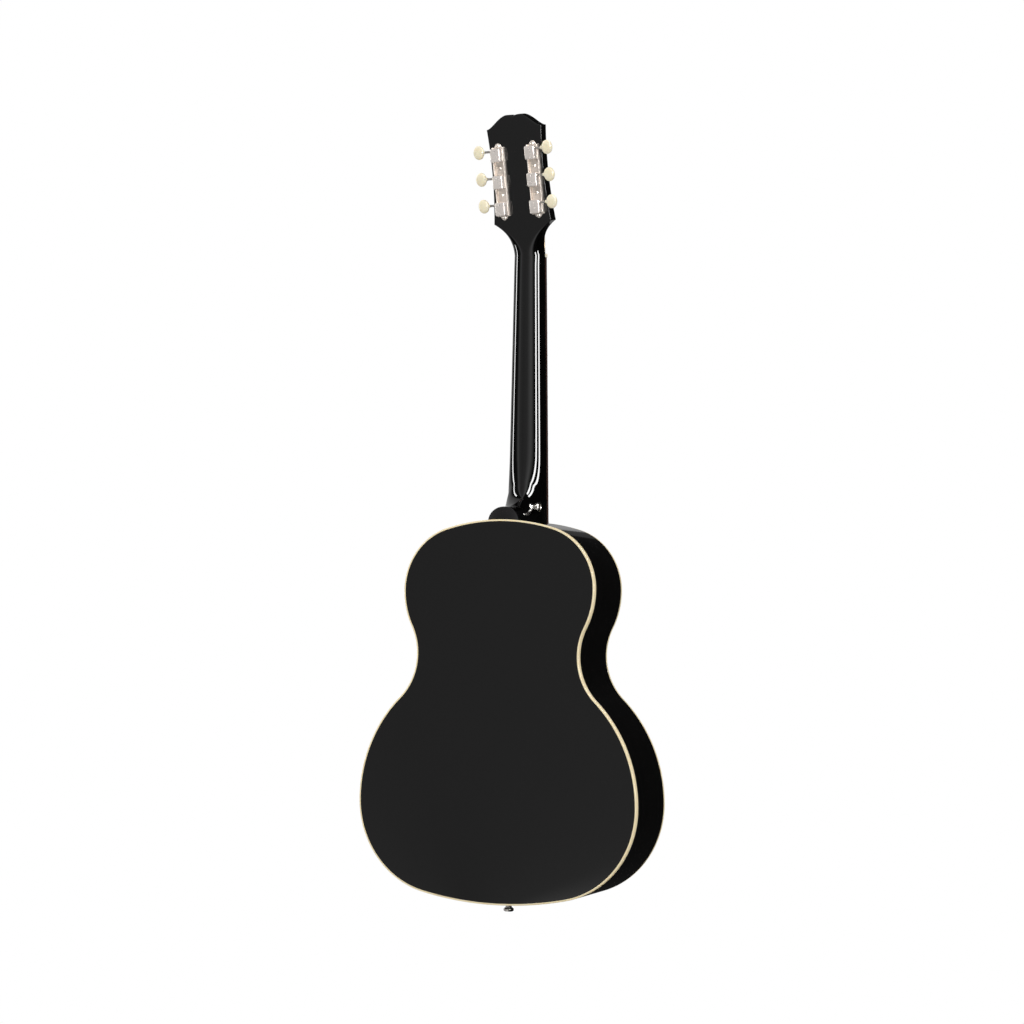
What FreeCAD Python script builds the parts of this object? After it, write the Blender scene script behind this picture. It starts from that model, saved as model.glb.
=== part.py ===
"""Small-bodied fourteen-fret steel-string guitar, with every piece it is glued and screwed from.

The origin is the middle of the tail rim, where the tail strap button seats.  +Z runs up the neck,
+Y is the side of the soundboard and +X the side of the bass strings.  Lengths are in millimetres
and angles in degrees.  The headstock pieces are drawn in a frame of their own, which starts at the
nut's far edge and leans back by head_tilt: there +Y leaves the front face and +Z runs to the crest.
"""
import FreeCAD, Part
import Sketcher
import math
import os
import re
from FreeCAD import Placement, Rotation, Vector

SIZES = {
    # Body outline: half widths, and heights above the tail.
    "body_length": 486.0,
    "lower_half_width": 193.5,
    "lower_height": 127.0,
    "waist_half_width": 113.3,
    "waist_height": 313.6,
    "upper_half_width": 133.5,
    "upper_height": 396.6,
    "tail_corner_radius": 119.0,
    "waist_radius": 76.8,
    "shoulder_radius": 82.0,
    # Body shell.
    "tail_depth": 99.6,
    "back_slope": 1.05,
    "rim_thickness": 2.2,
    "binding_height": 6.0,
    "top_thickness": 2.7,
    "back_thickness": 2.6,
    "lining_width": 6.0,
    "lining_height": 14.0,
    "soundhole_radius": 50.0,
    "soundhole_setback": 138.0,
    "rosette_inner_radius": 54.0,
    "rosette_outer_radius": 61.0,
    "rosette_depth": 1.0,
    "tail_block_width": 76.0,
    "tail_block_length": 20.0,
    "neck_block_width": 66.0,
    "neck_block_length": 52.0,
    "brace_width": 7.0,
    "brace_height": 13.0,
    "small_brace_width": 6.0,
    "small_brace_height": 9.0,
    "cross_brace_angle": 41.0,
    "cross_brace_drop": 66.0,
    "back_brace_width": 9.0,
    "back_brace_height": 12.0,
    "bridge_plate_width": 130.0,
    "bridge_plate_length": 44.0,
    "bridge_plate_thickness": 2.6,
    # Scale and strings.
    "scale_length": 628.65,
    "joint_fret": 14.0,
    "fret_count": 20.0,
    "string_spread_nut": 35.6,
    "string_spread_saddle": 54.0,
    "string_height_nut": 7.5,
    "string_height_saddle": 12.4,
    "compensation": 2.0,
    "string_clearance": 0.05,
    "winding_length": 4.6,
    "ball_radius": 1.8,
    # Bridge.
    "bridge_width": 152.0,
    "bridge_length": 27.0,
    "bridge_front": 8.0,
    "bridge_thickness": 8.8,
    "bridge_wing_thickness": 3.4,
    "bridge_flat_width": 92.0,
    "bridge_round": 0.9,
    "saddle_thickness": 3.0,
    "saddle_width": 74.0,
    "saddle_depth": 5.2,
    "saddle_angle": 2.6,
    "pin_setback": 11.5,
    "pin_radius": 2.4,
    "pin_head_radius": 3.8,
    "pin_head_height": 3.6,
    "pin_shank": 22.0,
    "string_slot_offset": 1.9,
    "string_bend_depth": 1.5,
    # Neck.
    "nut_width": 43.0,
    "heel_width": 54.5,
    "neck_depth_nut": 15.4,
    "neck_depth_heel": 17.4,
    "heel_cap_width": 43.0,
    "heel_cap_length": 17.0,
    "heel_cap_thickness": 2.0,
    "heel_cap_setback": 14.0,
    "heel_sweep": 44.0,
    "tenon_width": 20.0,
    "tenon_length": 18.0,
    "tenon_drop": 58.0,
    "board_thickness": 6.0,
    "board_radius": 305.0,
    "fret_crown": 2.1,
    "fret_height": 1.05,
    "fret_tang": 2.0,
    "fret_tang_width": 0.6,
    "fret_setback": 0.3,
    "marker_radius": 3.0,
    "marker_depth": 1.4,
    "marker_spread": 19.0,
    "nut_thickness": 5.0,
    "nut_seat": 7.5,
    "nut_round": 1.2,
    # Truss rod.
    "rod_depth": 8.4,
    "rod_radius": 2.4,
    "channel_width": 6.0,
    "channel_floor": 3.0,
    "rod_anchor_length": 14.0,
    "rod_nut_flats": 6.6,
    "rod_nut_length": 11.0,
    "rod_nut_gap": 3.0,
    "pocket_width": 10.4,
    "pocket_length": 25.0,
    "rod_cover_width": 25.0,
    "rod_cover_length": 40.0,
    "rod_cover_thickness": 1.8,
    "rod_cover_start": 3.0,
    # Headstock.
    "head_tilt": 14.1,
    "head_thickness": 15.6,
    "veneer_thickness": 2.0,
    "head_corner_height": 42.6,
    "head_corner_half": 41.0,
    "head_middle_half": 36.8,
    "head_top_height": 165.6,
    "head_top_half": 39.0,
    "head_crest_height": 182.4,
    "head_lobe_half": 9.5,
    "head_notch_drop": 2.4,
    # Tuners.
    "tuner_first_height": 67.6,
    "tuner_spacing": 34.8,
    "tuner_half_spread": 24.6,
    "tuner_shaft_drop": 9.5,
    "gear_offset": 7.3,
    "gear_teeth": 15.0,
    "gear_pitch_radius": 5.5,
    "gear_tip": 0.36,
    "gear_root": 0.78,
    "gear_width": 3.2,
    "gear_tooth": 0.8,
    "worm_core_radius": 1.15,
    "worm_tip_radius": 2.28,
    "worm_thread": 0.74,
    "worm_half_length": 4.0,
    "shaft_radius": 1.5,
    "post_radius": 3.0,
    "post_waist_radius": 2.5,
    "post_waist_start": 6.0,
    "post_waist_end": 12.4,
    "post_height": 15.0,
    "post_eye_radius": 0.9,
    "post_screw_radius": 2.6,
    "post_screw_height": 1.1,
    "running_clearance": 0.06,
    "bushing_radius": 4.4,
    "bushing_depth": 8.0,
    "bushing_flange_radius": 5.8,
    "bushing_flange": 1.2,
    "plate_half_width": 8.2,
    "plate_thickness": 1.0,
    "plate_lip_width": 1.2,
    "plate_lip_height": 4.0,
    "plate_margin_low": 15.2,
    "plate_margin_high": 5.0,
    "plate_tab_radius": 4.8,
    "lug_inner": 4.7,
    "lug_thickness": 1.5,
    "lug_half_height": 2.7,
    "cover_half_width": 6.9,
    "cover_wall": 0.5,
    "cover_above": 3.4,
    "cover_below": 13.8,
    "cover_depth": 12.6,
    "cover_edge_round": 1.2,
    "oil_hole_radius": 0.6,
    "button_centre_half": 48.6,
    "button_half_width": 7.4,
    "button_half_height": 9.0,
    "button_half_thickness": 3.5,
    "button_collar_radius": 2.4,
    "button_collar_length": 3.4,
    "screw_head_radius": 2.1,
    "screw_head_height": 1.2,
    "screw_shank_radius": 1.0,
    "screw_shank_length": 9.0,
    # Strap buttons.
    "strap_head_radius": 6.5,
    "strap_head_length": 3.0,
    "strap_waist_radius": 3.8,
    "strap_waist_length": 6.6,
    "strap_base_radius": 5.6,
    "strap_base_length": 3.0,
    "strap_screw_radius": 1.9,
    "strap_screw_length": 26.0,
    "strap_screw_head": 3.2,
    "heel_button_rise": 18.0,
    "heel_button_seat": 17.0,
    "heel_button_drop": 29.0,
    # Pickguard.
    "guard_thickness": 1.2,
    "guard_clearance": 1.5,
    "guard_bowl_radius": 38.0,
    "guard_tip_radius": 12.0,
    "guard_bowl_side": 62.0,
    "guard_bowl_drop": 62.0,
    "guard_tip_side": 78.0,
    "guard_tip_rise": 22.0,
}

# Sizes worked out from the ones above, in the sheet's own words.
DERIVED = {
    "front": "tail_depth / 2",
    "soundhole_height": "body_length - soundhole_setback",
    "nut_height": "body_length + scale_length * (1 - 2 ^ (-joint_fret / 12))",
    "head_start": "nut_height + nut_thickness",
    "board_end": "nut_height - scale_length * (1 - 2 ^ (-fret_count / 12)) - 4",
    "board_top": "front + board_thickness",
    "saddle_height": "nut_height - scale_length - compensation",
    "pin_height": "saddle_height - pin_setback",
    "bridge_low": "saddle_height + bridge_front - bridge_length",
    "tail_radius": "((lower_half_width - tail_corner_radius) ^ 2 + lower_height ^ 2"
                   " - tail_corner_radius ^ 2) / (2 * (lower_height - tail_corner_radius))",
    "flank_radius": "((lower_half_width - waist_half_width - waist_radius) ^ 2"
                    " + (waist_height - lower_height) ^ 2 - waist_radius ^ 2)"
                    " / (2 * (lower_half_width - waist_half_width))",
    "chest_radius": "((upper_half_width - waist_half_width - waist_radius) ^ 2"
                    " + (upper_height - waist_height) ^ 2 - waist_radius ^ 2)"
                    " / (2 * (upper_half_width - waist_half_width))",
    "crown_radius": "((upper_half_width - shoulder_radius) ^ 2 + (body_length - upper_height) ^ 2"
                    " - shoulder_radius ^ 2) / (2 * (body_length - upper_height - shoulder_radius))",
    "tail_share": "tail_radius / (tail_radius - tail_corner_radius)",
    "flank_share": "flank_radius / (flank_radius + waist_radius)",
    "chest_share": "chest_radius / (chest_radius + waist_radius)",
    "crown_share": "crown_radius / (crown_radius - shoulder_radius)",
    "tail_joint_x": "(lower_half_width - tail_corner_radius) * tail_share",
    "tail_joint_z": "tail_radius + (lower_height - tail_radius) * tail_share",
    "flank_joint_x": "lower_half_width - flank_radius"
                     " + (waist_half_width + waist_radius - lower_half_width + flank_radius) * flank_share",
    "flank_joint_z": "lower_height + (waist_height - lower_height) * flank_share",
    "chest_joint_x": "upper_half_width - chest_radius"
                     " + (waist_half_width + waist_radius - upper_half_width + chest_radius) * chest_share",
    "chest_joint_z": "upper_height + (waist_height - upper_height) * chest_share",
    "crown_joint_x": "(upper_half_width - shoulder_radius) * crown_share",
    "crown_joint_z": "body_length - crown_radius + (upper_height - body_length + crown_radius) * crown_share",
    "head_back": "-head_thickness",
    "shaft_level": "head_back - tuner_shaft_drop",
    "rod_level": "front - rod_depth",
    "back_at_heel": "-front + body_length * tan(back_slope * 1deg)",
    "heel_end": "back_at_heel + heel_cap_setback",
    "gear_tip_radius": "gear_pitch_radius + gear_tip",
    "gear_root_radius": "gear_pitch_radius - gear_root",
    "worm_pitch": "2 * pi * gear_pitch_radius / gear_teeth",
    "thread_lean": "worm_pitch / (2 * pi * (gear_offset - gear_pitch_radius))",
}

doc = FreeCAD.newDocument("Guitar")
sheet = doc.addObject("Spreadsheet::Sheet", "sizes")
for row, (alias, size) in enumerate(SIZES.items(), start=1):
    sheet.set(f"A{row}", alias.replace("_", " "))
    sheet.set(f"B{row}", str(size))
    sheet.setAlias(f"B{row}", alias)
doc.recompute()

NAME = re.compile(r"[a-z]+(?:_[a-z]+)*")
nodes = {}


def words(text):
    """The expression with each derived size written out and each sheet size given its full name."""
    def expand(match):
        name = match.group(0)
        if name in DERIVED:
            return "(" + words(DERIVED[name]) + ")"
        return "sizes." + name if name in SIZES else name
    return NAME.sub(expand, str(text))


def number(text):
    """The expression's value now."""
    return float(sheet.evalExpression(words(text)))


def bind(item, **expressions):
    """Ties properties of a document object to the sheet; a double underscore stands for a dot."""
    for name, text in expressions.items():
        item.setExpression(name.replace("__", "."), words(text))
    return item


def place(item, x="0", y="0", z="0"):
    return bind(item, Placement__Base__x=x, Placement__Base__y=y, Placement__Base__z=z)


def on_head(item):
    """Puts a finished piece drawn in the headstock's frame where the headstock is."""
    item.Placement = Placement(Vector(), Rotation(Vector(1, 0, 0), number("head_tilt")))
    bind(item, Placement__Rotation__Angle="head_tilt * 1deg")
    return place(item, y="front", z="head_start")


def head_placement():
    base = Vector(0, number("front"), number("head_start"))
    return Placement(base, Rotation(Vector(1, 0, 0), number("head_tilt")))


def node(label, item):
    """Keeps an object as one piece of the guitar, under the name of its file."""
    item.Label = label
    nodes[label] = item
    return item


def box(name, x, y, z, across, deep, tall):
    """Block from its lowest corner; across is along X, deep along Y and tall along Z."""
    item = bind(doc.addObject("Part::Box", name), Length=across, Width=deep, Height=tall)
    return place(item, x, y, z)


AXIS_TURN = {
    "X": Rotation(Vector(0, 1, 0), 90),
    "-X": Rotation(Vector(0, 1, 0), -90),
    "Y": Rotation(Vector(1, 0, 0), -90),
    "-Y": Rotation(Vector(1, 0, 0), 90),
    "Z": Rotation(),
    "-Z": Rotation(Vector(1, 0, 0), 180),
}


def rod(name, axis, radius, length, x="0", y="0", z="0"):
    """Cylinder that starts at a point and runs along an axis."""
    item = doc.addObject("Part::Cylinder", name)
    item.Placement = Placement(Vector(), AXIS_TURN[axis])
    bind(item, Radius=radius, Height=length)
    return place(item, x, y, z)


def joined(name, *items):
    item = doc.addObject("Part::MultiFuse", name)
    item.Shapes = list(items)
    return item


def cut(name, base, *tools):
    item = doc.addObject("Part::Cut", name)
    item.Base = base
    item.Tool = tools[0] if len(tools) == 1 else joined(name + "_tools", *tools)
    item.Refine = False
    return item


def common(name, base, tool):
    item = doc.addObject("Part::MultiCommon", name)
    item.Shapes = [base, tool]
    return item


def group(name, *items):
    """Separate solids kept in one piece's file."""
    item = doc.addObject("Part::Compound", name)
    item.Links = list(items)
    return item


def feature(name, shape, placement=None):
    item = doc.addObject("Part::Feature", name)
    item.Shape = shape
    if placement is not None:
        item.Placement = placement
    return item


def sketch(name, body=None, plane="XZ_Plane"):
    """Empty sketch, on one of a body's own planes or, with no body, upright in the X-Z plane."""
    if body is None:
        item = doc.addObject("Sketcher::SketchObject", name)
        item.Placement = Placement(Vector(), Rotation(Vector(1, 0, 0), 90))
        return item
    item = body.newObject("Sketcher::SketchObject", name)
    planes = [part for part in body.Origin.OriginFeatures if part.Role == plane]
    item.AttachmentSupport = (planes[0], "")
    item.MapMode = "FlatFace"
    return item


def pin_point(target, geometry, end, across, up):
    """Holds one end of a sketch line or arc at a place given by two expressions."""
    for kind, text in (("DistanceX", across), ("DistanceY", up)):
        index = target.addConstraint(Sketcher.Constraint(kind, -1, 1, geometry, end, number(text)))
        target.setExpression(f"Constraints[{index}]", words(text))


def polygon(target, corners):
    """Closed run of straight lines through corners given as pairs of expressions."""
    points = [Vector(number(across), number(up), 0) for across, up in corners]
    count = len(points)
    for index, point in enumerate(points):
        target.addGeometry(Part.LineSegment(point, points[(index + 1) % count]), False)
    for index in range(count):
        follower = (index + 1) % count
        target.addConstraint(Sketcher.Constraint("Coincident", index, 2, follower, 1))
        pin_point(target, index, 1, *corners[index])
    return target


# ---- Body shell -------------------------------------------------------------------------------

def arc_between(centre, radius, start, end):
    """Counter-clockwise arc about a centre, from one point to another."""
    first = math.atan2(start[1] - centre[1], start[0] - centre[0])
    last = math.atan2(end[1] - centre[1], end[0] - centre[0])
    if last < first:
        last += 2 * math.pi
    circle = Part.Circle(Vector(centre[0], centre[1], 0), Vector(0, 0, 1), radius)
    return Part.ArcOfCircle(circle, first, last)


def outline_sketch():
    """Guitar outline: twelve arcs, each tangent to the next, the left half mirroring the right.

    Each arc is (radius, centre, first joint, last joint); the waist is the one hollow arc a side.
    """
    tail = ("tail_joint_x", "tail_joint_z")
    lower = ("lower_half_width", "lower_height")
    flank = ("flank_joint_x", "flank_joint_z")
    chest = ("chest_joint_x", "chest_joint_z")
    upper = ("upper_half_width", "upper_height")
    crown = ("crown_joint_x", "crown_joint_z")
    right = [
        ("tail_corner_radius", ("lower_half_width - tail_corner_radius", "lower_height"), tail, lower),
        ("flank_radius", ("lower_half_width - flank_radius", "lower_height"), lower, flank),
        ("waist_radius", ("waist_half_width + waist_radius", "waist_height"), chest, flank),
        ("chest_radius", ("upper_half_width - chest_radius", "upper_height"), chest, upper),
        ("shoulder_radius", ("upper_half_width - shoulder_radius", "upper_height"), upper, crown),
    ]

    def mirror(point):
        return (f"-({point[0]})", point[1])

    arcs = [("tail_radius", ("0", "tail_radius"), mirror(tail), tail)]
    arcs += right
    arcs.append(("crown_radius", ("0", "body_length - crown_radius"), crown, mirror(crown)))
    for radius, centre, first, last in reversed(right):
        arcs.append((radius, mirror(centre), mirror(last), mirror(first)))
    target = sketch("body_outline")
    for index, (radius, centre, first, last) in enumerate(arcs):
        ends = [(number(point[0]), number(point[1])) for point in (centre, first, last)]
        target.addGeometry(arc_between(ends[0], number(radius), ends[1], ends[2]), False)
        pin_point(target, index, 1, *first)
        pin_point(target, index, 2, *last)
        held = target.addConstraint(Sketcher.Constraint("Radius", index, number(radius)))
        target.setExpression(f"Constraints[{held}]", words(radius))
    return target


BODY_OUTLINE = outline_sketch()
doc.recompute()


def body_solid(name, inset):
    """The outline drawn in by inset and stretched through the whole depth of the body."""
    base = BODY_OUTLINE
    if inset != "0":
        base = doc.addObject("Part::Offset2D", name + "_outline")
        base.Source = BODY_OUTLINE
        bind(base, Value=f"-({inset})")
    item = doc.addObject("Part::Extrusion", name)
    item.Base = base
    item.DirMode = "Custom"
    item.Dir = Vector(0, 1, 0)
    item.Solid = True
    return bind(item, LengthFwd="front", LengthRev="tail_depth")


def front_slab(name, near, far):
    """Layer parallel to the soundboard, between two depths behind its outer face."""
    return box(name, "-body_length", f"front - ({far})", "-body_length / 4",
               "2 * body_length", f"({far}) - ({near})", "body_length * 1.5")


def back_slab(name, near, far):
    """Layer parallel to the sloping back, between two depths in front of its outer face."""
    low = "-body_length / 4"
    item = box(name, "-body_length",
               f"-front + ({near}) * cos(back_slope * 1deg) + ({low}) * sin(back_slope * 1deg)",
               f"-({near}) * sin(back_slope * 1deg) + ({low}) * cos(back_slope * 1deg)",
               "2 * body_length", f"({far}) - ({near})", "body_length * 1.5")
    item.Placement.Rotation = Rotation(Vector(1, 0, 0), -number("back_slope"))
    return bind(item, Placement__Rotation__Axis__x="1", Placement__Rotation__Angle="-back_slope * 1deg")


def body_shell():
    outer = body_solid("outer_solid", "0")
    inner = body_solid("inner_solid", "rim_thickness")
    deep = body_solid("deep_solid", "rim_thickness + lining_width")
    ring = cut("rim_ring", outer, inner)
    lining_ring = cut("lining_ring", inner, deep)
    hole = rod("soundhole", "Y", "soundhole_radius", "tail_depth", "0", "0", "soundhole_height")
    rosette_outer = rod("rosette_outer", "Y", "rosette_outer_radius", "rosette_depth",
                        "0", "front - rosette_depth", "soundhole_height")
    rosette_inner = rod("rosette_inner", "Y", "rosette_inner_radius", "rosette_depth",
                        "0", "front - rosette_depth", "soundhole_height")
    rosette = node("rosette", cut("rosette_ring", rosette_outer, rosette_inner))
    top_layer = common("top_layer", inner, front_slab("top_slab", "0", "top_thickness"))
    back_layer = common("back_layer", inner, back_slab("back_slab", "0", "back_thickness"))
    node("back_plate", back_layer)
    node("top_binding", common("top_edge", ring, front_slab("top_edge_slab", "0", "binding_height")))
    node("back_binding", common("back_edge", ring, back_slab("back_edge_slab", "0", "binding_height")))
    walls = cut("side_walls", ring, front_slab("front_waste", "-top_thickness", "binding_height"),
                back_slab("back_waste", "-body_length", "binding_height"))
    bass_half = box("bass_half", "0", "-tail_depth", "-body_length / 4",
                    "body_length", "2 * tail_depth", "body_length * 1.5")
    tail_room = box("tail_block_room", "-tail_block_width / 2", "-tail_depth", "-rim_thickness",
                    "tail_block_width", "2 * tail_depth", "tail_block_length + rim_thickness")
    neck_room = box("neck_block_room", "-neck_block_width / 2", "-tail_depth",
                    "body_length - neck_block_length", "neck_block_width", "2 * tail_depth",
                    "neck_block_length * 2")
    above_back = back_slab("above_back", "-body_length", "back_thickness")
    below_top = front_slab("below_top", "-body_length", "top_thickness")
    tenon = box("tenon", "-tenon_width / 2", "front - binding_height - tenon_drop",
                "body_length - tenon_length", "tenon_width", "tenon_drop", "tenon_length")
    tail_screw = rod("tail_screw_room", "Z", "strap_screw_radius", "strap_screw_length",
                     z="-strap_screw_length / 2")
    node("tail_block", cut("tail_block_cut", common("tail_block_raw", inner, tail_room),
                           above_back, below_top, rod("tail_block_bore", "Z", "strap_screw_radius",
                                                      "strap_screw_length")))
    node("neck_block", cut("neck_block_cut", common("neck_block_raw", inner, neck_room),
                           above_back, below_top, tenon))
    node("bass_side", cut("bass_side_cut", common("bass_wall", walls, bass_half), tenon, tail_screw))
    node("treble_side", cut("treble_side_cut", cut("treble_wall", walls, bass_half), tenon, tail_screw))
    top_lining = common("top_lining_raw", lining_ring,
                        front_slab("top_lining_slab", "top_thickness", "top_thickness + lining_height"))
    node("top_linings", cut("top_lining_cut", top_lining, tail_room, neck_room))
    back_lining = common("back_lining_raw", lining_ring,
                         back_slab("back_lining_slab", "back_thickness", "back_thickness + lining_height"))
    node("back_linings", cut("back_lining_cut", back_lining, tail_room, neck_room))
    return outer, deep, top_layer, hole, rosette_outer, rosette_inner, neck_room, tail_room, tenon


(BODY_OUTER, BODY_DEEP, TOP_LAYER, SOUNDHOLE, ROSETTE_OUTER, ROSETTE_INNER,
 NECK_ROOM, TAIL_ROOM, TENON) = body_shell()


# ---- Braces -----------------------------------------------------------------------------------

def bar(name, height_above_tail, turn, width, depth, face="top"):
    """Straight brace glued inside the soundboard or the back, turned about its middle."""
    half = "lower_half_width"
    item = bind(doc.addObject("Part::Box", name), Length=f"2 * {half}", Width=depth, Height=width)
    if face == "top":
        item.Placement.Rotation = Rotation(Vector(0, 1, 0), number(turn))
        bind(item, Placement__Rotation__Angle=f"({turn}) * 1deg")
        angle = f"(({turn}) * 1deg)"
        along = f"-{half} * cos{angle} - ({width}) / 2 * sin{angle}"
        up = f"{height_above_tail} + {half} * sin{angle} - ({width}) / 2 * cos{angle}"
        return place(item, along, f"front - top_thickness - ({depth})", up)
    slope = "(back_slope * 1deg)"
    item.Placement.Rotation = Rotation(Vector(1, 0, 0), -number("back_slope"))
    bind(item, Placement__Rotation__Angle="-back_slope * 1deg")
    return place(item, f"-{half}",
                 f"-front + back_thickness * cos{slope} + ({height_above_tail}) * sin{slope}",
                 f"-back_thickness * sin{slope} + ({height_above_tail}) * cos{slope}")


def braces():
    """Crossed main braces, two tone bars, an upper bar, the bridge plate and four back braces."""
    cross = "soundhole_height - cross_brace_drop"
    legs = [bar(f"cross_leg_{side}", cross, f"{sign}(90 - cross_brace_angle)", "brace_width", "brace_height")
            for side, sign in (("bass", ""), ("treble", "-"))]
    upper = bar("upper_bar", "soundhole_height + soundhole_radius + brace_width * 2", "0",
                "brace_width", "brace_height")
    tone = [bar(f"tone_bar_{index}", height, "24", "small_brace_width", "small_brace_height")
            for index, height in enumerate(("lower_height * 0.92", "lower_height * 0.5"))]
    opening = rod("brace_clear", "Y", "rosette_outer_radius", "tail_depth", "0", "0", "soundhole_height")
    crossed = joined("cross_braces", *legs)
    crossed_in = cut("cross_in", common("cross_trim", crossed, BODY_DEEP), opening, NECK_ROOM, TAIL_ROOM)
    tone_in = [cut(item.Name + "_in", common(item.Name + "_trim", item, BODY_DEEP), crossed, TAIL_ROOM)
               for item in tone]
    upper_in = cut("upper_in", common("upper_trim", upper, BODY_DEEP), crossed_in, opening, NECK_ROOM)
    node("top_braces", group("top_brace_group", crossed_in, upper_in, *tone_in))
    plate = box("bridge_plate_raw", "-bridge_plate_width / 2",
                "front - top_thickness - bridge_plate_thickness",
                "pin_height - bridge_plate_length / 2", "bridge_plate_width",
                "bridge_plate_thickness", "bridge_plate_length")
    backs = [bar(f"back_bar_{index}", height, "0", "back_brace_width", "back_brace_height", "back")
             for index, height in enumerate(("lower_height * 0.55", "lower_height * 1.35",
                                             "waist_height * 0.88", "upper_height * 0.96"))]
    back_in = [cut(item.Name + "_in", common(item.Name + "_trim", item, BODY_DEEP), NECK_ROOM)
               for item in backs]
    node("back_braces", group("back_brace_group", *back_in))
    return cut("bridge_plate_cut", plate, crossed_in, *tone_in)


BRIDGE_PLATE = braces()


# ---- Strings ----------------------------------------------------------------------------------

STRING_DIAMETERS = (0.30, 0.41, 0.61, 0.81, 1.07, 1.35)
BEND_SWELL = 1.04
STRING_COUNT = len(STRING_DIAMETERS)


def string_side(index):
    """+1 for the three bass strings, which wind on the +X posts, and -1 for the treble ones."""
    return 1 if index >= STRING_COUNT // 2 else -1


def post_rank(index):
    """0 for the post nearest the nut, which takes an outer string, up to 2 for the farthest."""
    return index if index < STRING_COUNT // 2 else STRING_COUNT - 1 - index


def post_height_on_head(rank):
    return f"(tuner_first_height + {rank} * tuner_spacing - gear_offset)"


def across(index, spread):
    """Where a string crosses the nut or the saddle."""
    return number(spread) * (index / (STRING_COUNT - 1) - 0.5)


def saddle_at(x):
    """Height above the tail where a string at x bears on the slanted saddle."""
    return number("saddle_height") - x * math.tan(math.radians(number("saddle_angle")))


def winding_radius(index):
    """Middle of the string's turns, measured from the post's axis."""
    return number("post_waist_radius + string_clearance / 2") + STRING_DIAMETERS[index] / 2


def string_route(index):
    """The string's bends, from its ball under the bridge plate to its post."""
    at_pin = across(index, "string_spread_saddle")
    low = number("pin_height + string_slot_offset")
    under = number("front - top_thickness - bridge_plate_thickness")
    beside_pin = number("pin_height + pin_radius + ball_radius + string_clearance")
    ball = Vector(at_pin, under - number("ball_radius"), beside_pin)
    foot = Vector(at_pin, under, low)
    bend = Vector(at_pin, number("front + bridge_thickness - string_bend_depth"), low)
    crown = Vector(at_pin, number("front + string_height_saddle"), saddle_at(at_pin))
    nut = Vector(across(index, "string_spread_nut"), number("front + string_height_nut"),
                 number("nut_height + nut_thickness / 10"))
    rank = post_rank(index)
    inner = number("tuner_half_spread") - winding_radius(index)
    level = number("(post_waist_start + post_waist_end) / 2")
    post = Vector(string_side(index) * inner, level, number(post_height_on_head(rank)))
    return [ball, foot, bend, crown, nut, head_placement().multVec(post)]


def tube_along(points, radius):
    """Round bar along straight runs, with a ball at each bend."""
    runs = [Part.makeCylinder(radius, (last - first).Length, first, last - first)
            for first, last in zip(points, points[1:])]
    bends = [Part.makeSphere(radius * BEND_SWELL, point) for point in points[1:-1]]
    return runs[0].fuse(runs[1:] + bends)


def string_winding(index):
    """The turns round the post, as one sleeve."""
    inner = number("post_waist_radius + string_clearance / 2")
    outer = inner + STRING_DIAMETERS[index]
    length = number("winding_length")
    low = Vector(string_side(index) * number("tuner_half_spread"),
                 number("(post_waist_start + post_waist_end - winding_length) / 2"),
                 number(post_height_on_head(post_rank(index))))
    sleeve = Part.makeCylinder(outer, length, low, Vector(0, 1, 0))
    sleeve = sleeve.cut(Part.makeCylinder(inner, length, low, Vector(0, 1, 0)))
    return sleeve.transformed(head_placement().toMatrix())


def strings():
    """Six strings, and the room that each needs in what it passes through."""
    rooms = []
    for index, diameter in enumerate(STRING_DIAMETERS):
        route = string_route(index)
        solid = tube_along(route, diameter / 2).fuse([
            Part.makeSphere(number("ball_radius"), route[0]), string_winding(index)])
        node(f"string_{index + 1}", feature(f"string_{index + 1}_solid", solid))
        room = tube_along(route, diameter / 2 + number("string_clearance"))
        rooms.append(feature(f"string_{index + 1}_room", room))
    return joined("string_rooms", *rooms)


STRING_ROOMS = strings()


# ---- Bridge, saddle and pins ------------------------------------------------------------------

def turned(name, profile, axis, placement=None):
    """Solid turned from a closed profile of (radius, height) expressions about the sketch's own
    upright axis, with the height then laid along an axis."""
    body = doc.addObject("PartDesign::Body", name)
    drawing = polygon(sketch(name + "_profile", body), profile)
    spin = body.newObject("PartDesign::Revolution", name + "_turn")
    spin.Profile = drawing
    spin.ReferenceAxis = (drawing, ["V_Axis"])
    spin.Angle = 360
    body.Tip = spin
    body.Placement = Placement(Vector(), AXIS_TURN[axis])
    return body


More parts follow.
